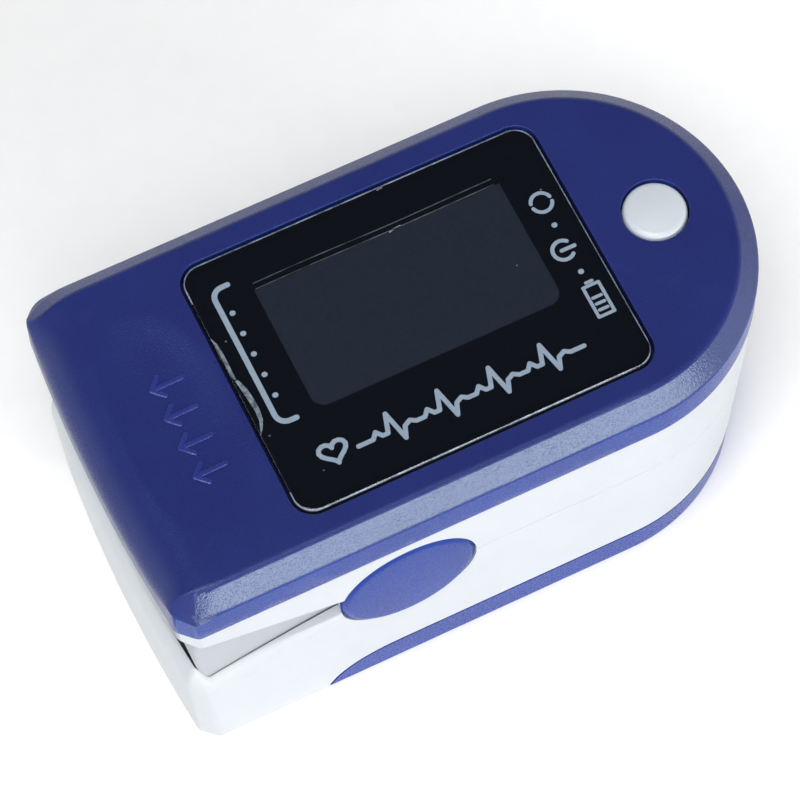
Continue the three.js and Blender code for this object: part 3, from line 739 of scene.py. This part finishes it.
def make_press_marks():
    """Four raised arrows in the finger hollow, which point at the end to press."""
    tip_x, tail_x, spread = -23.55, -20.65, 0.95
    paths = []
    for i in range(4):
        y = 3.75 - i * 3.0
        paths.append([(tail_x, y), (tip_x, y)])
        paths.append([(tip_x + spread, y - spread), (tip_x, y), (tip_x + spread, y + spread)])
    marks = strokes(paths, 0.46, 0.09, cover_height)
    # The marks take the lighter blue of a painted highlight.
    finish_piece(marks, "press_marks", BLUE_MARK, "upper_jaw", slot="blue_abs")


# ---------- lens and display ----------
FILM = 0.22  # clear layer over the printed mask
INK = 0.012
WINDOW_X = (-11.6, 12.1)
WINDOW_Y = (-4.2, 8.5)


def lens_ring(grow, z):
    """The lens's outline at a height, moved outwards by grow."""
    centre, half = (LENS_LOW + LENS_HIGH) / 2, (LENS_HIGH - LENS_LOW) / 2
    return ring(rounded_rectangle(centre.x, centre.y, half.x + grow, half.y + grow, LENS_CORNER + grow), z)


def lens_solid(*grow_at_heights, **how):
    return loft("lens", [lens_ring(grow, z) for grow, z in grow_at_heights], **how)


def lens_piece(made, name, material, **more):
    finish_piece(made, name, material, "upper_jaw", slot="lens_acrylic", **more)


def make_lens():
    low, top = LENS_LOW.z, LENS_HIGH.z
    under_film, level = top - FILM, ink_level()
    plate = lens_solid(
        (0, under_film), (0, top - 0.16), (-0.05, top - 0.07), (-0.14, top - 0.015), (-0.24, top))
    lens_piece(plate, "lens_film", CLEAR, nodes=["display_lens"], angle=60)
    mask = lens_solid((0, level - INK), (0, level))
    cut(mask, prism("window_cut", window_outline(), low - 1, top + 1))
    lens_piece(mask, "lens_mask", MASK_INK)
    body = lens_solid((-0.12, low), (0, low + 0.12), (0, level - 2 * INK))
    lens_piece(body, "lens_body", SMOKED)
    # A light ring round the lens top: the cut edge's own whitish face, together with a painted glint of the film's
    # chamfer.
    edge = lens_solid((-0.11, top - 0.03), (-0.02, top - 0.12), (0, under_film), (-0.11, under_film), closed=True)
    cut(edge, block("worn", LENS_LOW.x - 1, LENS_LOW.x + 0.5, -10.2, 9.6, top - 1, top + 1))
    lens_piece(edge, "lens_edge", CUT_ACRYLIC_GLINT)


def printed(paths, width):
    """Flat strokes as thick as a layer of ink, on the mask."""
    return strokes(paths, width, INK * 0.9, ink_level, sink=INK * 0.5, profile=((1, 0), (1, 1)))


# (distance in from the lens's press-side edge, y, width) along each lifted flake
FLAKES = (
    [(0.04, 5.75, 0.06), (0.20, 5.1, 0.20), (0.27, 4.1, 0.30), (0.30, 3.2, 0.34), (0.28, 2.3, 0.32),
     (0.28, 1.7, 0.26), (0.32, 1.2, 0.14)],
    [(0.28, 1.35, 0.14), (0.44, 0.95, 0.32), (0.62, 0.1, 0.48), (0.76, -1.0, 0.50), (0.82, -2.05, 0.46),
     (0.70, -3.1, 0.34), (0.40, -3.8, 0.22), (0.05, -4.4, 0.06)],
)


def make_lens_wear():
    """Painted glints: two light lines at the far side of the window, where the display's glass edges catch the
    light, with bright nicks; and the film's lifted edge on the press side.
    """
    x0, x1 = WINDOW_X[0] + 0.2, WINDOW_X[1] - 0.5
    xs = [x0 + (x1 - x0) * i / 12 for i in range(13)]
    lines = [
        [(x, WINDOW_Y[1] + off + sway * math.sin(0.35 * (x - x0))) for x in xs]
        for off, sway in ((0.04, 0.03), (0.62, 0.05))]
    lens_piece(printed(lines, 0.085), "window_seam_glint", SEAM_GLINT)
    nicks = [[(1.4, 8.4), (1.8, 8.52), (2.5, 8.56)], [(2.2, 12.6), (2.7, 12.66)]]
    # Bright nicks by the window's far side: chipped edges, whose brightness is a painted glint.
    lens_piece(printed(nicks, 0.13), "window_nick_glint", CUT_ACRYLIC_GLINT)
    for number, spine in enumerate(FLAKES, 1):
        left, right = [], []
        for i, (inward, y, width) in enumerate(spine):
            ragged = 0.03 * math.sin(7.3 * i + 1.1)
            left.append((LENS_LOW.x + inward - width / 2, y + ragged))
            right.append((LENS_LOW.x + inward + width / 2 + ragged, y))
        flake = prism("flake", left + right[::-1], LENS_HIGH.z - 0.05, LENS_HIGH.z + 0.004)
        lens_piece(flake, f"lens_flake_{number}", LIFTED_FILM)


def window_outline():
    """The clear window: square at its far corners, rounded at its near ones."""
    (x0, x1), (y0, y1) = WINDOW_X, WINDOW_Y
    corner = 1.3
    points = arc(x0 + corner, y0 + corner, corner, 180, 270, 8)
    points += arc(x1 - corner, y0 + corner, corner, 270, 360, 8)
    return points + [(x1, y1), (x0, y1)]


def print_paths():
    """Every printed line on the lens as (width, list of paths)."""
    bracket = [(-13.45, 10.0)] + arc(-14.05, 9.0, 1.0, 90, 180, 6) + arc(-14.05, -3.1, 1.0, 180, 270, 6)
    bracket += [(-13.45, -4.1)]
    yield 0.5, [bracket]
    dots = [(-14.2, 7.3 - 2.175 * i) for i in range(5)] + [(14.58, 2.65), (14.6, -2.42)]
    yield 0.5, [[(x - 0.02, y), (x + 0.02, y)] for x, y in dots]
    yield 0.34, [arc(14.56, 5.13, 0.95, a, a + 150, 14) for a in (15, 195)]
    power = [arc(14.15, 0.12, 0.95, 45, 315, 14), [(14.0, 0.12), (15.25, 0.12)]]
    yield 0.36, power
    yield 0.3, battery_glyph(14.75, -5.5)
    yield 0.42, pulse_trace()


def battery_glyph(x, y):
    """A small cell seen from the side, with charge bars."""
    half_x, half_y = 0.75, 1.55
    case = [(x + half_x * u, y + half_y * v) for u, v in ((-1, -1), (1, -1), (1, 1), (-1, 1), (-1, -1))]
    nub = [(x - 0.3, y + half_y + 0.35), (x + 0.3, y + half_y + 0.35)]
    bars = [[(x - 0.4, y + k), (x + 0.4, y + k)] for k in (-0.95, -0.32, 0.32)]
    return [case, nub, *bars]


def pulse_trace():
    """A heart and a run of heartbeats along the lens's near edge."""
    base, top, low = -8.9, -7.15, -9.95
    heart = []
    for i in range(25):
        t = 2 * math.pi * i / 24
        heart.append((-12.0 + 1.25 * math.sin(t) ** 3,
                      -8.35 + 1.1 * (13 * math.cos(t) - 5 * math.cos(2 * t) - 2 * math.cos(3 * t)
                                     - math.cos(4 * t)) / 16))
    line = [(-9.9, base)]
    beats, first, last = 4, -9.0, 10.6
    pitch = (last - first) / beats
    for i in range(beats):
        x = first + pitch * i
        line += [(x + 0.5, base), (x + 0.95, base + 0.55), (x + 1.4, base), (x + 1.9, base),
                 (x + 2.45, top), (x + 3.1, low), (x + 3.5, base), (x + 4.1, base + 0.3), (x + 4.6, base)]
    line.append((11.6, base))
    return [heart, line]


def ink_level(*_):
    """Top of the mask, on which the grey print lies. It is the same at every place."""
    return LENS_HIGH.z - FILM - INK


def make_print():
    for number, (width, paths) in enumerate(print_paths(), 1):
        lens_piece(printed(paths, width), f"lens_print_{number}", PRINT_INK)


def make_display():
    """The display's glass with its front polariser, whose far edge shows under the window."""
    low, high = GLASS_LOW, GLASS_HIGH
    glass = block("glass", low.x, high.x, low.y, high.y, low.z, high.z - 0.55)
    front = block("front", low.x + 0.5, high.x - 0.5, low.y + 0.4, WINDOW_Y[1] - 0.15, high.z - 0.7, high.z)
    join(glass, front)
    soften(glass, 0.09, segments=1)
    finish_piece(glass, "display_glass", DISPLAY, "upper_jaw", ["oled_display"], "display_glass")


# ---------- button ----------
def make_button():
    low, rim, crown = BUTTON_LOW.z, 0.75, 0.2
    flange_low, flange_top, flange_r = 29.25, 29.7, 3.6
    profile = [(0, low), (1, low), (1, flange_low), (flange_r, flange_low), (flange_r, flange_top)]
    profile += [(BUTTON_R, flange_top), (BUTTON_R, BUTTON_HIGH.z - crown - rim)]
    profile += domed_top(BUTTON_R, rim, BUTTON_HIGH.z, crown, 10)
    button = lathe("button", profile, upright(BUTTON_X, 0))
    # The button takes the lighter white of painted light.
    finish_piece(button, "button_cap", BUTTON_WHITE, "button", ["power_button"], "white_abs", angle=50)


# ---------- upper frame ----------
def upper_lip(x):
    """Height of the upper frame's lower edge, which rises in a wedge towards the press end."""
    rise = HINGE_Z + math.tan(UPPER_WEDGE) * (HINGE_X - x)
    return max(HINGE_Z + SEAM / 2, rise)


def hinge_disc(grow=0.0):
    """The cap's outline, seen from the side."""
    return circle(HINGE_X, HINGE_Z, CAP_R + grow, 160)


def hinge_point(radius, angle):
    return (HINGE_X - radius * math.cos(angle), HINGE_Z + radius * math.sin(angle))


def frame_tube():
    """The frame's side wall, with its lip following the wedge."""
    inset, edge = 0.2, 0.3
    outer, inner = body_plan(inset), body_plan(inset + WALL)
    softened = body_plan(inset + edge * 0.3)
    lipped = body_plan(inset + edge)
    top = COVER_Z - GAP

    def follow(plan, lift):
        return [(x, y, upper_lip(x0) + lift) for (x, y), (x0, _) in zip(plan, outer)]

    rings = [follow(lipped, 0), follow(softened, edge * 0.3), follow(outer, edge)]
    rings += [ring(outer, top - 0.12), ring(body_plan(inset + 0.12), top), ring(inner, top), follow(inner, 0)]
    return loft("frame", rings, closed=True)


def skirt_edge(start, end, shrink=0.0, steps=30):
    """The skirt's press-end edge: an arc about the hinge that leans out above the lower jaw's lip."""
    points = []
    for i in range(steps + 1):
        angle = start + (end - start) * i / steps
        lean = max(0.0, angle - SKIRT_LEAN_FROM) / (UPPER_WEDGE - SKIRT_LEAN_FROM)
        points.append(hinge_point(SKIRT_R - shrink + SKIRT_LEAN * lean, angle))
    return points


def skirt_wall(start, end, thickness=0.8):
    return skirt_edge(start, end) + skirt_edge(start, end, thickness)[::-1]


def press_skirt():
    """Side plates that carry the axle, and the arc-shaped wall across the press end."""
    foot, head = -LOWER_FOOT, UPPER_WEDGE + 0.03
    top = DECK_Z + 0.4

    def plate(side):
        """A side plate whose outer press-end edge is rounded."""
        layers = []
        for y, shrink in ((SKIRT_IN_Y, 0), (14.85, 0), (15.12, 0.07), (15.3, 0.25), (SKIRT_Y, 0.5)):
            outline = [
                (HINGE_X + 5, top), (HINGE_X + 4.4, HINGE_Z - 0.6), (HINGE_X + 2.5, HINGE_Z - 2.8),
                (HINGE_X, HINGE_Z - 3.2), hinge_point(5, foot - 0.45), *skirt_edge(foot, head, shrink),
                (HINGE_X - 17.5, top),
            ]
            layers.append([(x, side * y, z) for x, z in outline])
        return loft("skirt", layers)

    across_end = along_y("skirt", skirt_wall(-0.05, head), -14, 14)
    return [plate(1), plate(-1), across_end, *both_sides("skirt", skirt_wall(foot, head), 12.6, 14.5, (1, -1))]


def channel_cut(margin, x0, x1):
    """The oval channel that the finger lies in."""
    half_y, half_z = CHANNEL["half_width"] + margin, CHANNEL["half_height"] + margin
    outline = [(half_y * u, CHANNEL["z"] + half_z * v) for u, v in circle(0, 0, 1, 96)]
    return along_x("channel", outline, x0, x1)


def finger_mouth():
    return channel_cut(0.3, 20, HALF_LENGTH + 1)


def tunnel(z0, z1, stop_z1, flange, room):
    """Walls beside a finger pad, a stop across its inner end, and the flange that closes the jaw."""
    inner, start = PAD_Y + GAP, PAD_END_X - GAP - 1
    walls = block("tunnel", start, FAR, inner, inner + 1, z0, z1)
    join(walls, block("wall", start, FAR, -inner - 1, -inner, z0, z1))
    join(walls, block("stop", start, start + 1, -inner - 0.5, inner + 0.5, z0, stop_z1))
    rim = block("flange", FLANGE_X, FAR, -WIDE, WIDE, *flange)
    cut(rim, block("gap", -10, FAR + 10, -inner, inner, flange[0] - 1, flange[1] + 1))
    join(walls, rim)
    return keep(walls, room)


def upper_tunnel():
    bottom, top = HINGE_Z + GAP / 2, DECK_Z + 0.2
    room = prism("room", body_plan(1), bottom - 0.01, DECK_Z + 0.3)
    return tunnel(bottom, top, top, (bottom, bottom + 1), room)


def axle_hole():
    return along_y("axle_hole", circle(HINGE_X, HINGE_Z, AXLE_HOLE_R, 32), -HALF_WIDTH, HALF_WIDTH)


def ribbon_slot(z0, z1):
    return block("ribbon_slot", -15, -13.4, 5.2, 11.8, z0, z1)


def optics_slot(name, half, z0, z1):
    """An opening over the light source or under the sensor."""
    return block(name, SENSOR_X - half, SENSOR_X + half, -half, half, z0, z1)


def make_frame():
    shell = frame_tube()
    join(shell, prism("deck", body_plan(1), DECK_Z, DECK_Z + DECK))
    cut(shell, *both_sides("cap_room", hinge_disc(CAP_GAP), SKIRT_Y + 0.15, WIDE))
    join(shell, *press_skirt(), upper_tunnel())
    through_deck = (DECK_Z - 1, DECK_Z + DECK + 1)
    heads = screw_pillars("head_room", 1.9, HINGE_Z - 1, DECK_Z - 1.5)
    cut(shell, finger_mouth(), *screw_pillars("hole", 1, *through_deck), *heads)
    cut(shell, optics_slot("led_slot", 2.6, *through_deck), ribbon_slot(*through_deck), axle_hole())
    finish_piece(shell, "frame_shell", WHITE, "upper_jaw", ["upper_frame"], "white_abs")
    shell.data.materials.append(WHITE_PAINTED_SHADE)
    # Faces on the press-end side of the hinge, inside the skirt's outer face, take the darker white: painted shade
    # in the recess.
    for face in shell.data.polygons:
        if face.center.x / MM < HINGE_X and abs(face.center.y / MM) < SKIRT_Y + 0.05:
            face.material_index = 1


# ---------- lower housing ----------
def lower_lip(x):
    """Height of the lower housing's lip. It curves down towards the press end and steps up round the corner."""
    reach = max(0.0, HINGE_X - x)
    return min(HINGE_Z - SEAM / 2, HINGE_Z - 0.155 * reach - 0.0046 * reach**2) + END_STEP * end_share(x)


def end_share(x):
    """0 along the housing's sides, 1 on the press end's wall."""
    return smooth_step(-x, HALF_LENGTH - 2.7, HALF_LENGTH - 0.85)


def housing_cup():
    """The housing's wall and floor. Near the press end its lip rolls inwards."""
    outer = body_plan(LOWER_INSET)
    edge = 0.25

    def lip_ring(share_in, below):
        """A ring `below` under the lip, moved in by share_in of the local roll."""
        points = []
        for (x0, y0), (x1, y1) in zip(outer, body_plan(LOWER_INSET + LIP_ROLL, corner=0.8)):
            roll = smooth_step(x0, -15, -25)
            small = edge / LIP_ROLL
            move = share_in * (small + (1 - small) * roll)
            depth = below * (edge + (LIP_HEIGHT + 0.5 * end_share(x0) - edge) * roll)
            z = lower_lip(x0) - depth
            x, y = x0 + (x1 - x0) * move, y0 + (y1 - y0) * move
            points.append((*tapered((x, y), z), z))
        return points

    rings = [lower_ring(0.2, 0), lower_ring(0.06, 0.06)]
    rings += [tapered_ring(outer, z) for z in (0.2, 3, 6, 9)]
    rings += [lip_ring(u, v) for u, v in quarter_turn(12)]
    land = body_plan(LOWER_INSET + LIP_ROLL + 0.02, corner=0.8)
    rings.append([(*tapered(p, lower_lip(x0)), lower_lip(x0)) for p, (x0, _) in zip(land, outer)])
    for z in (9, WALL):
        rings.append(lower_ring(0.95, z, corner=0.4))
    return loft("housing", rings)


def door_outline(grow):
    """Side view of the battery door, whose front sweeps down to the base."""
    x0, x1, z = DOOR_FRONT_X - grow, DOOR_RAMP_X, DOOR_Z + grow
    ramp_points = bezier(Vector((x0, 0)), Vector((x0 + DOOR_RAMP_PULL, z)), Vector((x1, z)), 16)
    return [(x0, -1.0), *ramp_points, (HALF_LENGTH + 5, z), (HALF_LENGTH + 5, -1.0)]


def door_rails():
    """The stepped-in wall under the housing that the door's side walls slide over."""
    skirt = tapered_solid("rail", DOOR_WALL + GAP, WALL + GAP, DOOR_Z + 2)
    cut(skirt, tapered_solid("inside", DOOR_WALL + 1.6, 0, DOOR_Z + 3))
    shelf = tapered_solid("shelf", 0.6, DOOR_Z + GAP + 0.1, DOOR_Z + 1.6)
    cut(shelf, tapered_solid("inside", DOOR_WALL + 1.2, 0, DOOR_Z + 3))
    join(skirt, shelf)
    groove = block("groove", DOOR_FRONT_X, FAR, -14.9, 14.9, 2.3, 3.6)
    cut(groove, block("core", DOOR_FRONT_X - 1, FAR + 1, -13.85, 13.85, 2, 4))
    cut(skirt, groove)
    return keep(skirt, block("room", DOOR_FRONT_X + 1.5, FAR, -WIDE, WIDE, WALL + GAP, FAR))


def battery_tray():
    outer = BAY["y"] + BAY["wall"]
    bay = block("bay", BAY["x0"] - BAY["wall"], BAY["x1"] + BAY["wall"], -outer, outer, WALL - 0.2, TRAY_TOP)
    keep(bay, tapered_solid("room", DOOR_WALL + GAP, 0, HINGE_Z))
    cut(bay, block("cells", BAY["x0"], BAY["x1"], -BAY["y"], BAY["y"], -1, TRAY_Z))
    tray = tapered_solid("tray", 0.8, TRAY_Z, TRAY_TOP, 2)
    keep(tray, block("room", FLANGE_X, FAR, -WIDE, WIDE, 0, FAR))
    return join(bay, tray)


def axle_bosses():
    half = [(5, TRAY_Z - 3), (5, TRAY_Z), (2.7, HINGE_Z + 1.2), (1, HINGE_Z + 2.8)]
    side = [(HINGE_X + x, z) for x, z in half] + [(HINGE_X - x, z) for x, z in half[::-1]]
    y = BAY["y"] + BAY["wall"] - 0.2
    return both_sides("boss", side, y, SKIRT_IN_Y - GAP, (1, -1))


def lower_tunnel():
    bottom, top = TRAY_TOP - 0.2, HINGE_Z - GAP / 2
    room = tapered_solid("room", 0.8, bottom, top, 2)
    return tunnel(bottom, top, HINGE_Z - 1.5, (top - 1, top), room)


def make_housing():
    shell = housing_cup()
    cut(shell, along_y("door_room", door_outline(GAP), -WIDE, WIDE))
    join(shell, *both_sides("ear", hinge_disc(), SKIRT_Y + 0.3, CAP_FLOOR_Y))
    for others in ([door_rails()], [battery_tray()], axle_bosses(), [lower_tunnel()]):
        join(shell, *others)
    cut(shell, *both_sides("pocket", hinge_disc(CAP_GAP), CAP_FLOOR_Y, WIDE))
    cut(shell, finger_mouth(), optics_slot("sensor_slot", 4.3, TRAY_Z - 1, TRAY_TOP + 1))
    cut(shell, ribbon_slot(TRAY_Z - 0.5, TRAY_TOP + 1), axle_hole())
    finish_piece(shell, "housing_shell", WHITE, "lower_jaw", ["lower_housing"], "white_abs")


# ---------- battery door ----------
def make_door():
    """The door's outer shell, with grip ridges cut into its underside."""
    edge = 0.35
    rings = [lower_ring(edge * v, edge * u) for u, v in quarter_turn(4)]
    door = loft("door", rings + [lower_ring(0, z) for z in (1.5, 3, DOOR_Z)])
    keep(door, along_y("room", door_outline(0), -WIDE, WIDE))
    cut(door, tapered_solid("inside", DOOR_WALL, WALL, DOOR_Z + 1, 2))
    half, depth = 0.35, 0.35
    cut(door, *[block("groove", x - half, x + half, -5, 5, -1, depth) for x in (-10.0, -8.2, -6.4, -4.6, -2.8)])
    rail = [(-8, 2.6), (13, 2.6), (13, 3.3), (-8, 3.3)]
    join(door, *both_sides("rail", rail, 14.15, 15.1, (1, -1)))
    soften(door, 0.1)
    # The door takes the lighter blue of painted side light.
    finish_piece(door, "door_shell", BLUE_SMOOTH_SIDE_LIGHT, "door", ["battery_door"], "blue_abs")


# ---------- pivot caps ----------
def make_cap(side, end):
    inner = CAP_FLOOR_Y + 0.1
    profile = [(0, inner), (CAP_R - 0.2, inner), (CAP_R, inner + 0.2), *domed_top(CAP_R, 0.8, HALF_WIDTH, 0.1, 12)]
    cap = lathe("cap", profile, across(HINGE_X, HINGE_Z, side), 160)
    # The caps take the lighter blue of painted side light.
    finish_piece(cap, f"hinge_cap_{end}", BLUE_SMOOTH_SIDE_LIGHT, "lower_jaw", [f"pivot_cap_{end}"], "blue_abs", angle=50)


# ---------- finger pads ----------
def make_pad(name, node, body, z0, z1, well):
    """A silicone pad with the finger's channel moulded into it and a well over the optics."""
    pad = prism("pad", body_plan(0.2 + WALL + GAP), z0, z1)
    keep(pad, block("room", PAD_END_X, FAR, -PAD_Y, PAD_Y, z0 - 1, z1 + 1))
    cut(pad, channel_cut(0, PAD_END_X + 1.6, FAR))
    cut(pad, optics_slot("well", 2.4, *well))
    soften(pad, 0.3, segments=3)
    finish_piece(pad, name, SILICONE, body, [node], "silicone")


# ---------- pieces that run between the jaws --------
def swept(name, centres, ring_at):
    """A solid along a line of centres. ring_at holds a ring's (sideways, outward) points."""
    rings = []
    level = Vector((0, 1, 0))
    for i, centre in enumerate(centres):
        along = (centres[min(i + 1, len(centres) - 1)] - centres[max(i - 1, 0)]).normalized()
        out = along.cross(level).normalized()
        side = out.cross(along)
        rings.append([centre + side * u + out * v for u, v in ring_at])
    return loft(name, rings)


def bend_with_jaws(made, name, material, node, z0, z1):
    """Names and dresses a piece that runs between the jaws at the hinge, bakes its placement into its mesh and hides
    its CAD node. The span of heights, z0 to z1, is worked out but has no effect.
    """
    made.name = made.data.name = name
    dress(made, material, 50)
    start, end = (Vector((HINGE_X, 0, z)) * MM for z in (z0, z1))
    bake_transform(made)
    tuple(start)
    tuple(end)
    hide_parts(node)


def make_torsion_spring():
    """Wire coiled on the axle, with one arm on the lower tray and one under the upper deck."""
    wire_r, coil_r, half_width, turns = 0.35, 2.4, 2.4, 4
    start, end = -math.pi / 2 + 0.08, math.pi / 2 - 0.19 + turns * 2 * math.pi
    floor, roof = TRAY_TOP + GAP + wire_r, DECK_Z - GAP - wire_r
    arm = [(12, floor), (11, floor + 0.08), (8, floor + 0.31), (5, floor + 0.55), (2.5, floor + 0.8)]
    line = [Vector((HINGE_X - x, -half_width, z)) for x, z in arm]
    steps = turns * 40 + 20
    for i in range(steps + 1):
        angle = start + (end - start) * i / steps
        y = half_width * (2 * i / steps - 1)
        line.append(Vector((HINGE_X + coil_r * math.cos(angle), y, HINGE_Z + coil_r * math.sin(angle))))
    arm = [(2.5, roof - 1.80), (5, roof - 1.35), (8, roof - 0.77), (11, roof - 0.19), (12, roof)]
    line += [Vector((HINGE_X - x, half_width, z)) for x, z in arm]
    spring = swept("spring", line, circle(0, 0, wire_r, 14))
    bend_with_jaws(spring, "hinge_spring", STEEL, "torsion_spring", HINGE_Z - coil_r, HINGE_Z + coil_r)


def make_jaw_ribbon():
    """The flat cable from jaw to jaw, with a soft S in its slack."""
    marks = [
        (-14.2, TRAY_Z + 0.2), (-14.2, TRAY_TOP + 0.8), (-15.6, HINGE_Z - 1.5), (-15.9, HINGE_Z + 0.5),
        (-14.6, HINGE_Z + 3), (-14.2, DECK_Z - 0.8), (-14.2, 25.0)]
    padded = [marks[0], *marks, marks[-1]]
    line = []
    for a, b, c, d in zip(padded, padded[1:], padded[2:], padded[3:]):
        for i in range(8):
            t = i / 8
            x, z = (0.5 * (2 * q + (r - p) * t + (2 * p - 5 * q + 4 * r - s) * t**2 + (3 * q - p - 3 * r + s) * t**3)
                    for p, q, r, s in zip(a, b, c, d))
            line.append(Vector((x, 8.3, z)))
    line.append(Vector((marks[-1][0], 8.3, marks[-1][1])))
    cable = swept("cable", line, rounded_rectangle(0, 0, 2.7, 0.12, 0.05, 2))
    bend_with_jaws(cable, "jaw_cable", FLEX, "jaw_ribbon", TRAY_TOP + 0.8, DECK_Z - 0.8)


# ---------- pieces that keep their CAD shape ----------
KEPT = (  # material, edge radius and nodes
    (FLEX, 0, "display_ribbon"),
    (BLACK, 0.12, "display_holder"),
    (BLACK, 0.1, "switch_plunger"),
    (BOARD, 0.05, "main_pcb", "sensor_board"),
    (CHIP, 0.08, "microcontroller", "tact_switch", "emitter_led", "photodiode"),
    (WINDOW, 0.1, "emitter_window", "sensor_window"),
    (CELL, 0, "battery_cell_1", "battery_cell_2"),
    (STEEL, 0.15, "quartz_crystal"),
    (STEEL, 0.12, "hinge_axle"),
    (STEEL, 0.1, "cover_screw_1", "cover_screw_2", "cover_screw_3", "cover_screw_4"),
    (STEEL, 0.08, "terminal_plate_negative", "terminal_plate_positive", "contact_bridge"),
    (STEEL, 0, "terminal_spring", "bridge_spring"),
)


def dress_kept_nodes():
    for material, edge, *nodes in KEPT:
        for part in (frame["nodes"][node] for node in nodes):
            dress(part, material, 35)
            if edge:
                rounded = part.modifiers.new("rounded", "BEVEL")
                rounded.width = edge * MM
                rounded.segments = 2
                rounded.limit_method = "ANGLE"
                rounded.angle_limit = math.radians(40)


# ---------- stage ----------
def direction(azimuth, elevation):
    """Unit vector out from the object, from angles in degrees."""
    a, e = math.radians(azimuth), math.radians(elevation)
    return Vector((math.sin(a) * math.cos(e), -math.cos(a) * math.cos(e), math.sin(e)))


def make_camera():
    target = Vector((-1.82, 0.21, 16.0)) * MM
    distance, focal = 0.3588, 179.79
    back, roll = direction(-24.09, 64.95), math.radians(-1.96)
    level = Vector((0, 0, 1)).cross(back).normalized()
    right = math.cos(roll) * level + math.sin(roll) * back.cross(level)
    axes = Matrix((right, back.cross(right), back)).transposed().to_4x4()
    camera = bpy.data.objects.new("camera", bpy.data.cameras.new("camera"))
    camera.data.lens = focal
    camera.data.clip_start = 0.01
    camera.matrix_world = Matrix.Translation(target + back * distance) @ axes
    SCENE.collection.objects.link(camera)
    SCENE.camera = camera


def make_softbox(name, azimuth, elevation, distance, size, radiance):
    """A rectangular softbox that faces the object from a direction in degrees. Its size is in metres."""
    place = direction(azimuth, elevation) * distance
    light = bpy.data.lights.new(name, "AREA")
    light.shape = "RECTANGLE"
    light.size, light.size_y = size
    light.energy = radiance * math.pi * size[0] * size[1]
    lamp = bpy.data.objects.new(name, light)
    lamp.location = place
    lamp.rotation_mode = "QUATERNION"
    lamp.rotation_quaternion = (-place).to_track_quat("-Z", "Y")
    SCENE.collection.objects.link(lamp)


def make_world():
    """Soft white surroundings, bright at eye level and dim overhead."""
    world = bpy.data.worlds.new("studio")
    world.use_nodes = True
    SCENE.world = world
    tree = world.node_tree
    where = add_node(tree, "TexCoord", {}).outputs["Generated"]
    height = add_node(tree, "SeparateXYZ", {"Vector": where}).outputs["Z"]
    glow = ramp(tree, height, (1.0, 1.0, 1.0), (0.008, 0.010, 0.014), 0.22, 0.66)
    feed(tree, tree.nodes["Background"], {"Color": glow, "Strength": 1.3})


def make_floor():
    material, tree, shader = new_material("floor_paper")
    feed(tree, shader, {
        "Base Color": ramp(tree, noise(tree, 400), (0.96, 0.96, 0.96), (0.98, 0.98, 0.98)),
        "Roughness": 0.9, "Specular IOR Level": 0.1})
    half = 1.5 / MM
    floor = block("floor", -half, half, -half, half, -2.0, -0.02)
    floor.data.materials.append(material)


SCENE.view_settings.view_transform = "Standard"
make_camera()
make_world()
make_floor()
make_softbox("over_camera", -40, 68, 1.3, (0.8, 0.8), 6.8)
make_softbox("near_side", 10, 23, 1.3, (1.3, 0.42), 5.0)

make_cover()
make_press_marks()
make_lens()
make_lens_wear()
make_print()
make_display()
make_button()
make_frame()
make_housing()
make_door()
make_cap(1, "left")
make_cap(-1, "right")
make_pad("upper_pad", "upper_finger_pad", "upper_jaw", HINGE_Z + GAP / 2, DECK_Z - GAP, (CHANNEL["z"], TOP_Z))
make_pad("lower_pad", "lower_finger_pad", "lower_jaw", TRAY_TOP + GAP, HINGE_Z - GAP / 2, (0, CHANNEL["z"]))
make_torsion_spring()
make_jaw_ribbon()
dress_kept_nodes()
